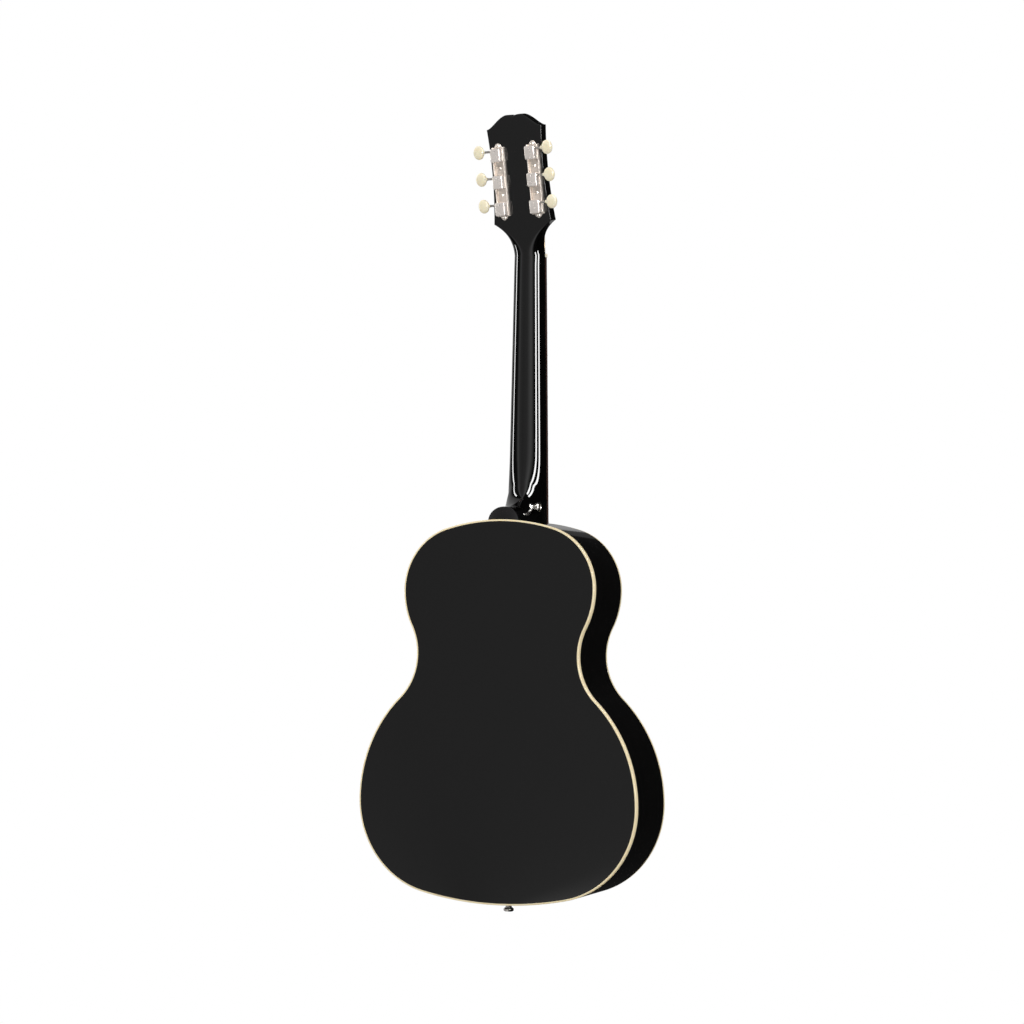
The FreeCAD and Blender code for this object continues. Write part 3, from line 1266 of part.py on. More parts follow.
def tuners():
    """Six tuners numbered as their strings; returns the room that the plates' screws need."""
    covers, bushings = [], []
    for index in range(STRING_COUNT):
        side, rank = string_side(index), post_rank(index)
        label = index + 1
        node(f"tuner_post_{label}", post(f"post_{label}", side, rank))
        node(f"tuner_worm_{label}", worm(f"worm_{label}", side, rank))
        node(f"tuner_button_{label}", button(f"button_{label}", side, rank))
        covers.append(cover(f"cover_{label}", side, rank))
        bushings.append(bushing(f"bushing_{label}", side, rank))
    node("tuner_covers", on_head(group("cover_group", *covers)))
    node("post_bushings", on_head(group("bushing_group", *bushings)))
    screws, rooms = [], []
    for name, side in (("bass", 1), ("treble", -1)):
        node(f"tuner_plate_{name}", tuner_plate(f"plate_{name}", side))
        for index, height in enumerate(screw_heights()):
            middle = f"{side} * tuner_half_spread"
            screws.append(wood_screw(f"plate_screw_{name}_{index}", middle, "head_back - plate_thickness",
                                     height, "-Y", "screw_shank_length"))
            rooms.append(rod(f"plate_screw_room_{name}_{index}", "Y", "screw_shank_radius",
                             "screw_shank_length", middle, "head_back - plate_thickness", height))
    node("plate_screws", on_head(group("plate_screw_group", *screws)))
    return on_head(group("plate_screw_room", *rooms))


def strap_button_profile():
    """Waisted button with a broad rimmed head, about its own axis from its seat outwards."""
    base, waist = "strap_base_length", "(strap_base_length + strap_waist_length)"
    end = f"({waist} + strap_head_length + 1)"
    return [("strap_screw_radius", "0"), ("strap_base_radius", "0"), ("strap_base_radius", f"{base} * 0.5"),
            ("strap_waist_radius", base), ("strap_waist_radius", f"{waist} - 1"),
            ("strap_head_radius", waist), ("strap_head_radius", f"{waist} + strap_head_length"),
            ("strap_head_radius - 1.6", end), ("strap_screw_head", end),
            ("strap_screw_radius", f"{end} - 1.6")], end


def strap_buttons():
    """Both strap buttons, at the tail and on the bass flank of the heel, and their screws."""
    profile, end = strap_button_profile()
    reach = "(strap_screw_length - 6)"
    screw = [("0", f"-{reach}"), ("strap_screw_radius", f"-{reach} + 3"), ("strap_screw_radius", f"{end} - 1.6"),
             ("strap_screw_head", end), ("0", end)]
    seats = [("tail", "-Z", "0", "0", "0"),
             ("heel", "X", "heel_button_seat", "front - heel_button_drop", "body_length + heel_button_rise")]
    made, screws = [], []
    for name, axis, x, y, z in seats:
        made.append(place(turned(name + "_button", profile, axis), x, y, z))
        screws.append(place(turned(name + "_screw", screw, axis), x, y, z))
    node("strap_buttons", group("strap_button_group", *made))
    node("strap_button_screws", group("strap_screw_group", *screws))


PLATE_SCREW_ROOM = tuners()
COVER_SCREW_ROOM = rod_cover()
neck()
fingerboard()
truss_rod()
strap_buttons()


# ---- Check and write --------------------------------------------------------------------------

def check_and_write():
    """Stops if any object failed or any piece is broken, and then writes a file for each piece."""
    doc.recompute()
    faults = [f"{item.Name}: {item.State}" for item in doc.Objects
              if "Invalid" in item.State or "Error" in item.State]
    for label, item in nodes.items():
        shape = item.Shape
        if shape.isNull() or not shape.isValid() or not shape.Solids:
            faults.append(f"{label} has no valid solid")
    if faults:
        raise RuntimeError("; ".join(faults))
    os.makedirs("parts", exist_ok=True)
    for label, item in nodes.items():
        item.Shape.exportStep(f"parts/{label}.step")
        print(f"{label}: {len(item.Shape.Solids)} solid(s), {item.Shape.Volume:.0f} mm3")


check_and_write()
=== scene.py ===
"""Looks of a small-bodied, fourteen-fret steel-string guitar, dressed around its working frame.

Sizes are in millimetres and angles in degrees until a mesh is made.  +Z runs up the neck, +Y is the
side of the soundboard and +X the side of the bass strings.  The headstock has a frame of its own,
which starts at the nut's far edge and leans back: there +Y leaves the front face.
"""
import logging
import math
from dataclasses import dataclass, field
from enum import Enum

import bmesh
import bpy
import numpy as np
from mathutils import Matrix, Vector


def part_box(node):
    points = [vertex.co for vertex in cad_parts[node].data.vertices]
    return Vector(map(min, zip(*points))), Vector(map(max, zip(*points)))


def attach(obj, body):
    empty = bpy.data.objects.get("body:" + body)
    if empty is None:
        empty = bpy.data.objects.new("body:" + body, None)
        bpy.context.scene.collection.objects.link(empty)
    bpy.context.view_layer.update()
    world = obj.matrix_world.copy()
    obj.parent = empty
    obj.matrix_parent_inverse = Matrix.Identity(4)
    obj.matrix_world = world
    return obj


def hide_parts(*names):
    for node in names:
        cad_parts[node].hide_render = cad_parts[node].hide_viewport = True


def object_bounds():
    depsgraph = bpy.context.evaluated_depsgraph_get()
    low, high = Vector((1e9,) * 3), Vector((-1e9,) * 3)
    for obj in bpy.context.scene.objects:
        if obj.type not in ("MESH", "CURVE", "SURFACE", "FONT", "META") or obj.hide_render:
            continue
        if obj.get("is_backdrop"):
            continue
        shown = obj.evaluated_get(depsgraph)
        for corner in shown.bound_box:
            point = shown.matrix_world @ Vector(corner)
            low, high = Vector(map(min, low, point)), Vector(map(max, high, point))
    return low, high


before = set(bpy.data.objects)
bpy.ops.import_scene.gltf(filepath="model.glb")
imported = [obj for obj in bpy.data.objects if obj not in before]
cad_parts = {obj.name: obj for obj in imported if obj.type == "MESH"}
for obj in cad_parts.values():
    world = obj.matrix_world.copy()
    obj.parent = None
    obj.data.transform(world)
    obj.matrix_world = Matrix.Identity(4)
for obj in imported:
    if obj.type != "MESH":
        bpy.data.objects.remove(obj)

LOG = logging.getLogger("guitar")
MILLIMETRE = 0.001
MERGE_DISTANCE = 2e-7


# ---- Reading the frame ------------------------------------------------------------------------

def low_corner(node: str) -> np.ndarray:
    """Lowest corner of a frame node, in millimetres."""
    return np.array(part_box(node)[0]) / MILLIMETRE


def high_corner(node: str) -> np.ndarray:
    """Highest corner of a frame node, in millimetres."""
    return np.array(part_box(node)[1]) / MILLIMETRE


FRONT = float(high_corner("soundboard")[1])
BODY_LENGTH = float(high_corner("top_binding")[2])
NUT_HEIGHT = float(low_corner("nut")[2])
HEAD_START = float(high_corner("nut")[2])
HEAD_TILT = math.radians(14.1)


def on_head(points: np.ndarray) -> np.ndarray:
    """Takes points from the headstock's frame to the guitar's: a turn about X, then a shift.

    Args:
        points: Places of shape (..., 3) in the headstock's frame.

    Returns:
        The same places in the guitar's frame.
    """
    cos, sin = math.cos(HEAD_TILT), math.sin(HEAD_TILT)
    x, y, z = np.moveaxis(points, -1, 0)
    return np.stack([x, FRONT + y * cos - z * sin, HEAD_START + y * sin + z * cos], axis=-1)


# ---- Skins ------------------------------------------------------------------------------------

@dataclass
class Skin:
    """A closed surface: its points, and its faces of four and of three corners."""

    points: np.ndarray
    quads: np.ndarray
    tris: np.ndarray = field(default_factory=lambda: np.zeros((0, 3), int))

    def moved(self, place) -> "Skin":
        """The same skin with its points passed through a function of place."""
        return Skin(place(self.points), self.quads, self.tris)


def grid_quads(rows: int, columns: int, wrap_rows: bool, wrap_columns: bool) -> np.ndarray:
    """Corner numbers of the faces of a grid, which may close on itself either way."""
    index = np.arange(rows * columns).reshape(rows, columns)
    if wrap_rows:
        index = np.vstack([index, index[:1]])
    if wrap_columns:
        index = np.hstack([index, index[:, :1]])
    corners = [index[:-1, :-1], index[:-1, 1:], index[1:, 1:], index[1:, :-1]]
    return np.stack(corners, axis=-1).reshape(-1, 4)


def loft(rings: np.ndarray) -> Skin:
    """Skin through a stack of closed rings, each end closed by a fan to the ring's middle.

    Args:
        rings: Points of shape (rows, columns, 3).

    Returns:
        A closed skin.
    """
    rows, columns = rings.shape[:2]
    middles = rings[[0, -1]].mean(axis=1)
    first, ahead = np.arange(columns), np.roll(np.arange(columns), -1)
    last = first + (rows - 1) * columns
    low = np.stack([np.full(columns, rows * columns), ahead, first], axis=-1)
    high = np.stack([np.full(columns, rows * columns + 1), last, ahead + (rows - 1) * columns], axis=-1)
    points = np.vstack([rings.reshape(-1, 3), middles])
    return Skin(points, grid_quads(rows, columns, False, True), np.vstack([low, high]))


def hoop(rings: np.ndarray) -> Skin:
    """Skin through rings that close on themselves both ways, as a tyre does."""
    rows, columns = rings.shape[:2]
    return Skin(rings.reshape(-1, 3), grid_quads(rows, columns, True, True))


def between(upper: np.ndarray, lower: np.ndarray) -> Skin:
    """Solid between two sheets with the same grid, closed along all four edges.

    Args:
        upper: One sheet's points, of shape (rows, columns, 3).
        lower: The other sheet's points.

    Returns:
        A closed skin: each row of the two sheets makes one ring, and strips close the end rows.
    """
    rows, columns = upper.shape[:2]
    rings = np.concatenate([upper, lower[:, ::-1]], axis=1)
    quads = grid_quads(rows, 2 * columns, False, True)
    step = np.arange(columns - 1)
    strips = []
    for row in (0, rows - 1):
        start = row * 2 * columns
        far = start + 2 * columns - 1
        strips.append(np.stack([start + step, start + step + 1, far - step - 1, far - step], axis=-1))
    return Skin(rings.reshape(-1, 3), np.vstack([quads, *strips]))


def full_turn(steps: int) -> np.ndarray:
    """Even angles once round, without the last, which is the first again."""
    return np.linspace(0, 2 * math.pi, steps, endpoint=False)


def beside(axis) -> tuple[np.ndarray, np.ndarray, np.ndarray]:
    """An axis at unit length, and two unit directions square to it and to each other."""
    axis = np.asarray(axis, float) / np.linalg.norm(axis)
    helper = np.array([0.0, 0.0, 1.0]) if abs(axis[2]) < 0.9 else np.array([1.0, 0.0, 0.0])
    across = np.cross(helper, axis)
    across /= np.linalg.norm(across)
    return axis, across, np.cross(axis, across)


def turned(profile: np.ndarray, origin, axis, steps: int = 48) -> Skin:
    """Solid of revolution: a profile of (radius, distance along the axis) carried round an axis.

    Args:
        profile: Pairs from one end to the other, of shape (n, 2).
        origin: Where the distance along the axis is nought.
        axis: Direction of the axis.
        steps: Points round the axis.

    Returns:
        A closed skin.
    """
    axis, across, up = beside(axis)
    angle = full_turn(steps)
    circle = -np.cos(angle)[:, None] * across - np.sin(angle)[:, None] * up
    radius, along = np.asarray(profile, float).T
    rings = np.asarray(origin, float) + radius[:, None, None] * circle + along[:, None, None] * axis
    return loft(rings)


def smooth(share):
    """Share of a smooth step, level at both ends."""
    return share * share * (3 - 2 * share)


def eased(corners, ease: float, steps: int = 5) -> np.ndarray:
    """Open run of points whose inner corners are softened.

    Each corner becomes a parabola that leaves one side and meets the next at the same distance,
    which is ease or under half of the shorter side.
    """
    corners = np.asarray(corners, float)
    share = np.linspace(0, 1, steps)[:, None]
    runs = [corners[:1]]
    for before, corner, after in zip(corners, corners[1:], corners[2:]):
        reach = min(ease, 0.45 * np.linalg.norm(before - corner), 0.45 * np.linalg.norm(after - corner))
        start = corner + (before - corner) / max(np.linalg.norm(before - corner), 1e-9) * reach
        end = corner + (after - corner) / max(np.linalg.norm(after - corner), 1e-9) * reach
        runs.append((1 - share) ** 2 * start + 2 * share * (1 - share) * corner + share ** 2 * end)
    runs.append(corners[-1:])
    return np.vstack(runs)


def corner_turns(steps: int) -> tuple[np.ndarray, np.ndarray]:
    """Angles round a rounded rectangle, and the signs of the corner that each belongs to."""
    quarter = np.linspace(0, math.pi / 2, steps)
    turn = np.concatenate([quarter + step * math.pi / 2 for step in range(4)])
    return turn, np.repeat([[1, 1], [-1, 1], [-1, -1], [1, -1]], steps, axis=0)


def rounded_box(low, high, radius: float, steps: int = 4) -> Skin:
    """Box with every edge round: a ball's eighths pushed out to the corners of an inner box."""
    low, high = np.asarray(low, float), np.asarray(high, float)
    middle, half = (low + high) / 2, (high - low) / 2 - radius
    turn, side = corner_turns(steps + 1)
    quarter = turn[:steps + 1]
    rise = np.concatenate([quarter - math.pi / 2, quarter])
    end = np.repeat([-1, 1], steps + 1)
    x = side[:, 0] * half[0] + radius * np.cos(rise)[:, None] * np.cos(turn)
    y = side[:, 1] * half[1] + radius * np.cos(rise)[:, None] * np.sin(turn)
    z = np.broadcast_to((end * half[2] + radius * np.sin(rise))[:, None], x.shape)
    return loft(middle + np.stack([x, y, z], axis=-1))


def tube(path: np.ndarray, radius: float, sides: int = 12) -> Skin:
    """Round bar along a path.

    Each ring stands square to the path; its first direction is a fixed one with its share along
    the path taken out, so the rings don't twist.
    """
    run = np.gradient(path, axis=0)
    run /= np.linalg.norm(run, axis=1)[:, None]
    guide = np.array([1.0, 0.0, 0.0])
    across = guide - (run @ guide)[:, None] * run
    across /= np.linalg.norm(across, axis=1)[:, None]
    up = np.cross(run, across)
    angle = full_turn(sides)
    ring = np.cos(angle)[None, :, None] * across[:, None] + np.sin(angle)[None, :, None] * up[:, None]
    return loft(path[:, None] + radius * ring)


def domed_halves(radius: float, height: float, slot: float, depth: float) -> list[Skin]:
    """Slotted screw head about +Z, as a floor disc and two half domes beside the slot.

    The dome's height falls with the square of the distance from the axis.  A half dome is a loft
    of sections that run from the slot's edge to the rim.
    """
    reach = math.acos(slot / 2 / radius)
    swing = np.linspace(-reach, reach, 17)
    blend = np.linspace(0, 1, 7)[:, None]
    chord = np.stack([np.full_like(swing, slot / 2), radius * np.sin(swing)])
    rim = radius * np.stack([np.cos(swing), np.sin(swing)])
    x = chord[0] + blend * (rim[0] - chord[0])
    y = chord[1] + blend * (rim[1] - chord[1])
    top = height * (1 - 0.75 * (x ** 2 + y ** 2) / radius ** 2)
    floor = np.full_like(x, height - depth - 0.75 * height * 0.4)
    halves = []
    for side in (1, -1):
        halves.append(between(np.stack([side * x, side * y, top], axis=-1),
                              np.stack([side * x, side * y, np.minimum(floor, top - 0.02)], axis=-1)))
    disc = turned([(0, 0), (radius, 0), (radius, 0.22 * height), (0, 0.3 * height)], (0, 0, 0), (0, 0, 1), 40)
    return halves + [disc]


def aimed(origin, axis, roll: float = 0.0):
    """Function of place that lays +Z along an axis from an origin, after a turn about it."""
    axis, across, up = beside(axis)
    cos, sin = math.cos(roll), math.sin(roll)

    def place(points: np.ndarray) -> np.ndarray:
        """Turns and shifts the points."""
        x = points[:, 0] * cos - points[:, 1] * sin
        y = points[:, 0] * sin + points[:, 1] * cos
        return np.asarray(origin, float) + x[:, None] * across + y[:, None] * up + points[:, 2:] * axis
    return place


# ---- Materials --------------------------------------------------------------------------------

class Tree:
    """A node tree being put together."""

    def __init__(self, tree: bpy.types.NodeTree) -> None:
        self.tree = tree

    def add(self, kind: str, **settings) -> bpy.types.Node:
        """Adds a node and sets its own properties."""
        node = self.tree.nodes.new(kind)
        for name, value in settings.items():
            setattr(node, name, value)
        return node

    def link(self, source, target) -> None:
        """Joins an output to an input."""
        self.tree.links.new(source, target)

    def ramp(self, factor, stops, blend: str = "LINEAR") -> bpy.types.NodeSocket:
        """Colour read from stops of (place, colour)."""
        node = self.add("ShaderNodeValToRGB")
        node.color_ramp.interpolation = blend
        elements = node.color_ramp.elements
        while len(elements) < len(stops):
            elements.new(0.5)
        for element, (place, colour) in zip(elements, stops):
            element.position = place
            element.color = (*colour, 1.0)
        self.link(factor, node.inputs["Fac"])
        return node.outputs["Color"]

    def mixed(self, factor, without, within) -> bpy.types.NodeSocket:
        """One shader where the factor is 0 and another where it is 1."""
        node = self.add("ShaderNodeMixShader")
        for source, target in zip((factor, without, within), node.inputs):
            self.link(source, target)
        return node.outputs["Shader"]


class Nodes(Tree):
    """A node material being put together round one surface shader."""

    def __init__(self, name: str) -> None:
        self.material = bpy.data.materials.new(name)
        self.material.use_nodes = True
        super().__init__(self.material.node_tree)
        self.shader = next(n for n in self.tree.nodes if n.type == "BSDF_PRINCIPLED")
        self.coordinates = self.add("ShaderNodeTexCoord").outputs["Object"]

    def set(self, **values) -> None:
        """Sets the shader's own sockets; an underscore stands for a space."""
        for name, value in values.items():
            self.shader.inputs[name.replace("_", " ")].default_value = value

    def stretched(self, scale: tuple[float, float, float]):
        """Object coordinates scaled along each axis."""
        mapping = self.add("ShaderNodeMapping")
        mapping.inputs["Scale"].default_value = scale
        self.link(self.coordinates, mapping.inputs["Vector"])
        return mapping.outputs["Vector"]

    def noise(self, scale: float, detail: float = 4.0, stretch=(1.0, 1.0, 1.0), rough: float = 0.5):
        """Cloudy pattern, finer with a larger scale."""
        node = self.add("ShaderNodeTexNoise")
        node.inputs["Scale"].default_value = scale
        node.inputs["Detail"].default_value = detail
        node.inputs["Roughness"].default_value = rough
        self.link(self.stretched(stretch), node.inputs["Vector"])
        return node.outputs["Fac"]

    def span(self, factor, low: float, high: float):
        """A pattern from 0 to 1 spread between two values."""
        node = self.add("ShaderNodeMapRange")
        node.inputs["From Min"].default_value = 0.3
        node.inputs["From Max"].default_value = 0.7
        node.inputs["To Min"].default_value = low
        node.inputs["To Max"].default_value = high
        self.link(factor, node.inputs["Value"])
        return node.outputs["Result"]

    def bump(self, height, strength: float, distance: float) -> None:
        """Fine relief from a pattern, in metres at full strength."""
        node = self.add("ShaderNodeBump")
        node.inputs["Strength"].default_value = strength
        node.inputs["Distance"].default_value = distance
        self.link(height, node.inputs["Height"])
        self.link(node.outputs["Normal"], self.shader.inputs["Normal"])


@dataclass(frozen=True)
class Finish:
    """One finish of the guitar; its material is made once and shared."""

    name: str

    def material(self) -> bpy.types.Material:
        """The finish's material."""
        title = "finish_" + self.name
        found = bpy.data.materials.get(title)
        if found is None:
            kit = Nodes(title)
            self.paint(kit)
            found = kit.material
        return found

    def paint(self, kit: Nodes) -> None:
        """Builds the node tree."""
        raise NotImplementedError


@dataclass(frozen=True)
class Lacquer(Finish):
    """Deep gloss black: a dark ground under a clear coat with a trace of polishing haze."""

    ground: tuple[float, float, float] = (0.0006, 0.0005, 0.0005)
    haze: float = 0.055
    peel: float = 0.02

    def paint(self, kit: Nodes) -> None:
        """Uneven ground colour, roughness in soft clouds and a faint ripple."""
        lighter = tuple(1.5 * channel for channel in self.ground)
        kit.link(kit.ramp(kit.noise(9.0, 3.0), [(0.3, self.ground), (0.75, lighter)]),
                 kit.shader.inputs["Base Color"])
        kit.link(kit.span(kit.noise(26.0, 5.0), self.haze * 0.7, self.haze * 1.35),
                 kit.shader.inputs["Roughness"])
        kit.set(IOR=1.5, Specular_IOR_Level=0.5, Coat_Weight=0.35, Coat_Roughness=0.02)
        kit.bump(kit.noise(110.0, 2.0), self.peel, 0.00008)


@dataclass(frozen=True)
class Plastic(Finish):
    """Moulded or sheet plastic with a soft mottle and a little light passing through."""

    pale: tuple[float, float, float] = (0.9, 0.85, 0.7)
    deep: tuple[float, float, float] = (0.8, 0.7, 0.5)
    rough: float = 0.25
    depth: float = 0.0
    mottle: float = 60.0

    def paint(self, kit: Nodes) -> None:
        """Mottled colour, mould-fine relief and scattering under the skin."""
        kit.link(kit.ramp(kit.noise(self.mottle, 5.0), [(0.25, self.deep), (0.7, self.pale)]),
                 kit.shader.inputs["Base Color"])
        kit.link(kit.span(kit.noise(190.0, 3.0), self.rough * 0.8, self.rough * 1.3),
                 kit.shader.inputs["Roughness"])
        if self.depth:
            kit.set(Subsurface_Weight=0.25, Subsurface_Scale=self.depth)
            kit.shader.inputs["Subsurface Radius"].default_value = (1.0, 0.8, 0.5)
        kit.bump(kit.noise(420.0, 3.0), 0.06, 0.0001)


@dataclass(frozen=True)
class Metal(Finish):
    """Plated or drawn metal with brushed streaks and tarnish in soft patches."""

    bright: tuple[float, float, float] = (0.86, 0.82, 0.76)
    dull: tuple[float, float, float] = (0.62, 0.57, 0.51)
    rough: float = 0.22
    streak: tuple[float, float, float] = (1.0, 1.0, 1.0)
    relief: float = 0.05
    metallic: float = 1.0

    def paint(self, kit: Nodes) -> None:
        """Patchy tarnish, streaked roughness and hair-fine relief."""
        kit.link(kit.ramp(kit.noise(75.0, 6.0), [(0.3, self.dull), (0.55, self.bright)]),
                 kit.shader.inputs["Base Color"])
        kit.link(kit.span(kit.noise(140.0, 6.0, self.streak, 0.6), self.rough * 0.7, self.rough * 1.5),
                 kit.shader.inputs["Roughness"])
        kit.set(Metallic=self.metallic)
        kit.bump(kit.noise(520.0, 3.0, self.streak), self.relief, 0.0001)


class Grain(Enum):
    """Which way a piece of wood's grain runs, as the stretch of its pattern."""

    ALONG_NECK = (1.0, 1.0, 0.05)
    ACROSS_BODY = (0.05, 1.0, 1.0)


@dataclass(frozen=True)
class Wood(Finish):
    """Open or oiled wood: growth bands, darker pores and a dry or waxed surface."""

    pale: tuple[float, float, float] = (0.5, 0.35, 0.2)
    dark: tuple[float, float, float] = (0.3, 0.18, 0.1)
    grain: Grain = Grain.ALONG_NECK
    bands: float = 240.0
    rough: float = 0.6

    def paint(self, kit: Nodes) -> None:
        """Bands and pores drawn out along the grain, with relief from the pores."""
        bands = kit.noise(self.bands, 7.0, self.grain.value, 0.62)
        pores = kit.noise(self.bands * 5.0, 4.0, self.grain.value, 0.7)
        mix = kit.add("ShaderNodeMix", data_type="RGBA", blend_type="MULTIPLY")
        mix.inputs["Factor"].default_value = 0.6
        kit.link(kit.ramp(bands, [(0.32, self.dark), (0.66, self.pale)]), mix.inputs["A"])
        kit.link(kit.ramp(pores, [(0.36, (0.35, 0.3, 0.28)), (0.5, (1.0, 1.0, 1.0))]), mix.inputs["B"])
        kit.link(mix.outputs["Result"], kit.shader.inputs["Base Color"])
        kit.link(kit.span(pores, self.rough * 1.2, self.rough * 0.8), kit.shader.inputs["Roughness"])
        kit.bump(pores, 0.35, 0.00012)


@dataclass(frozen=True)
class Tortoise(Finish):
    """Celluloid sheet in amber with dark brown clouds under a polished face."""

    def paint(self, kit: Nodes) -> None:
        """Large warped clouds from amber to near black."""
        clouds = kit.noise(46.0, 5.0, (1.0, 1.0, 0.7), 0.62)
        colour = kit.ramp(clouds, [(0.38, (0.006, 0.003, 0.002)), (0.5, (0.06, 0.012, 0.004)),
                                   (0.62, (0.30, 0.08, 0.012))])
        kit.link(colour, kit.shader.inputs["Base Color"])
        kit.link(kit.span(kit.noise(160.0, 4.0), 0.08, 0.16), kit.shader.inputs["Roughness"])
        kit.set(Coat_Weight=0.5, Coat_Roughness=0.03)


@dataclass(frozen=True)
class RingInlay(Finish):
    """Rosette: black and cream rings whose colour depends only on the distance from the axis."""

    centre: tuple[float, float] = (0.0, 0.348)
    inner: float = 0.054
    outer: float = 0.061

    def paint(self, kit: Nodes) -> None:
        """Distance in the soundboard's plane, read through a stepped ramp."""
        mapping = kit.add("ShaderNodeMapping")
        mapping.inputs["Location"].default_value = (-self.centre[0], 0.0, -self.centre[1])
        mapping.inputs["Scale"].default_value = (1.0, 0.0, 1.0)
        kit.link(kit.coordinates, mapping.inputs["Vector"])
        length = kit.add("ShaderNodeVectorMath", operation="LENGTH")
        kit.link(mapping.outputs["Vector"], length.inputs[0])
        place = kit.add("ShaderNodeMapRange")
        place.inputs["From Min"].default_value = self.inner
        place.inputs["From Max"].default_value = self.outer
        kit.link(length.outputs["Value"], place.inputs["Value"])
        cream, black = (0.80, 0.68, 0.44), (0.008, 0.007, 0.007)
        places = (0.0, 0.13, 0.22, 0.35, 0.44, 0.56, 0.65, 0.78, 0.87)
        stops = [(stop, black if number % 2 else cream) for number, stop in enumerate(places)]
        kit.link(kit.ramp(place.outputs["Result"], stops, "CONSTANT"), kit.shader.inputs["Base Color"])
        kit.link(kit.span(kit.noise(180.0), 0.1, 0.18), kit.shader.inputs["Roughness"])
        kit.set(Coat_Weight=0.6, Coat_Roughness=0.03)


@dataclass(frozen=True)
class Pearl(Finish):
    """Mother of pearl: pale layers that shift between pink, green and blue."""

    def paint(self, kit: Nodes) -> None:
        """Layered clouds through a ramp of pale tints, with a thin bright coat."""
        layers = kit.noise(330.0, 5.0, (1.0, 1.0, 0.4), 0.65)
        kit.link(kit.ramp(layers, [(0.3, (0.62, 0.70, 0.66)), (0.45, (0.86, 0.82, 0.80)),
                                   (0.58, (0.70, 0.80, 0.86)), (0.72, (0.90, 0.80, 0.84))]),
                 kit.shader.inputs["Base Color"])
        kit.set(Roughness=0.16, Coat_Weight=0.6, Coat_Roughness=0.05)


@dataclass(frozen=True)
class WoundWire(Finish):
    """Bronze wrap: tight turns across the string, with painted shade darkening the grooves between turns so
    the crowns read brighter.
    """

    bronze: tuple[float, float, float] = (0.82, 0.62, 0.40)
    pitch: float = 0.00035

    def paint(self, kit: Nodes) -> None:
        """Bands along the neck for the wrap's relief, and painted shade that darkens the colour in the
        grooves between turns.
        """
        wave = kit.add("ShaderNodeTexWave", bands_direction="Z", wave_profile="SIN")
        wave.inputs["Scale"].default_value = 0.314 / self.pitch
        kit.link(kit.coordinates, wave.inputs["Vector"])
        # painted shade: in the grooves between the wrap's turns the colour falls to about a third of the
        # bronze
        painted_groove_shade = tuple(0.35 * channel for channel in self.bronze)
        kit.link(kit.ramp(wave.outputs["Fac"], [(0.1, painted_groove_shade), (0.6, self.bronze)]),
                 kit.shader.inputs["Base Color"])
        kit.link(kit.span(kit.noise(300.0), 0.24, 0.38), kit.shader.inputs["Roughness"])
        kit.set(Metallic=0.6)
        kit.bump(wave.outputs["Fac"], 0.5, 0.0001)


BLACK_BODY = Lacquer("body_lacquer")
BLACK_NECK = Lacquer("neck_lacquer", haze=0.045)
BLACK_CAP = Plastic("heel_cap_black", pale=(0.008, 0.007, 0.008), deep=(0.005, 0.0045, 0.005), rough=0.12)
CREAM_BINDING = Plastic("cream_binding", pale=(0.86, 0.74, 0.49), deep=(0.82, 0.69, 0.44), rough=0.2,
                        depth=0.0008)
CREAM_BUTTON = Plastic("cream_button", pale=(0.90, 0.83, 0.64), deep=(0.84, 0.75, 0.52), rough=0.3,
                       depth=0.002, mottle=90.0)
CREAM_PIN = Plastic("cream_pin", pale=(0.88, 0.82, 0.66), deep=(0.80, 0.70, 0.50), rough=0.25, depth=0.001)
PIN_DOT = Plastic("pin_dot_black", pale=(0.02, 0.02, 0.02), deep=(0.01, 0.01, 0.01), rough=0.2)
BONE = Plastic("bone", pale=(0.88, 0.84, 0.72), deep=(0.78, 0.71, 0.55), rough=0.35, depth=0.001,
               mottle=220.0)
ROD_COVER = Plastic("rod_cover_black", pale=(0.012, 0.012, 0.012), deep=(0.007, 0.007, 0.007), rough=0.1)
BRIGHT_NICKEL = Metal("bright_nickel", bright=(0.90, 0.83, 0.78), dull=(0.84, 0.77, 0.72), rough=0.22,
                      metallic=0.5)
PLATE_NICKEL = Metal("plate_nickel", bright=(0.74, 0.67, 0.61), dull=(0.56, 0.49, 0.43), rough=0.4,
                     streak=(1.0, 1.0, 0.08), relief=0.12, metallic=0.45)
SHAFT_NICKEL = Metal("shaft_nickel", bright=(0.72, 0.68, 0.63), dull=(0.45, 0.41, 0.37), rough=0.24)
SCREW_NICKEL = Metal("screw_nickel", rough=0.28)
POLISHED_NICKEL = Metal("polished_nickel", bright=(0.88, 0.85, 0.80), dull=(0.72, 0.68, 0.62), rough=0.12)
FRET_WIRE = Metal("fret_wire", bright=(0.76, 0.74, 0.70), dull=(0.60, 0.57, 0.52), rough=0.2,
                  streak=(0.08, 1.0, 1.0), metallic=0.5)
PLAIN_WIRE = Metal("plain_wire", bright=(0.80, 0.80, 0.80), dull=(0.62, 0.62, 0.62), rough=0.2,
                   metallic=0.55)
ROD_STEEL = Metal("rod_steel", bright=(0.45, 0.44, 0.43), dull=(0.28, 0.25, 0.22), rough=0.4)
BRASS = Metal("rod_nut_brass", bright=(0.72, 0.53, 0.24), dull=(0.5, 0.34, 0.14), rough=0.3)
BRONZE_WRAP = WoundWire("bronze_wrap")
ROSEWOOD_BOARD = Wood("rosewood_board", pale=(0.085, 0.030, 0.018), dark=(0.026, 0.009, 0.006), rough=0.45)
ROSEWOOD_BRIDGE = Wood("rosewood_bridge", pale=(0.105, 0.045, 0.028), dark=(0.030, 0.013, 0.009),
                       grain=Grain.ACROSS_BODY, rough=0.45)
MAHOGANY = Wood("mahogany", pale=(0.36, 0.17, 0.09), dark=(0.20, 0.09, 0.05), rough=0.7)
SPRUCE = Wood("spruce", pale=(0.74, 0.56, 0.34), dark=(0.58, 0.40, 0.22), grain=Grain.ACROSS_BODY, rough=0.75)
BASSWOOD = Wood("basswood", pale=(0.62, 0.46, 0.29), dark=(0.50, 0.35, 0.21), rough=0.8)
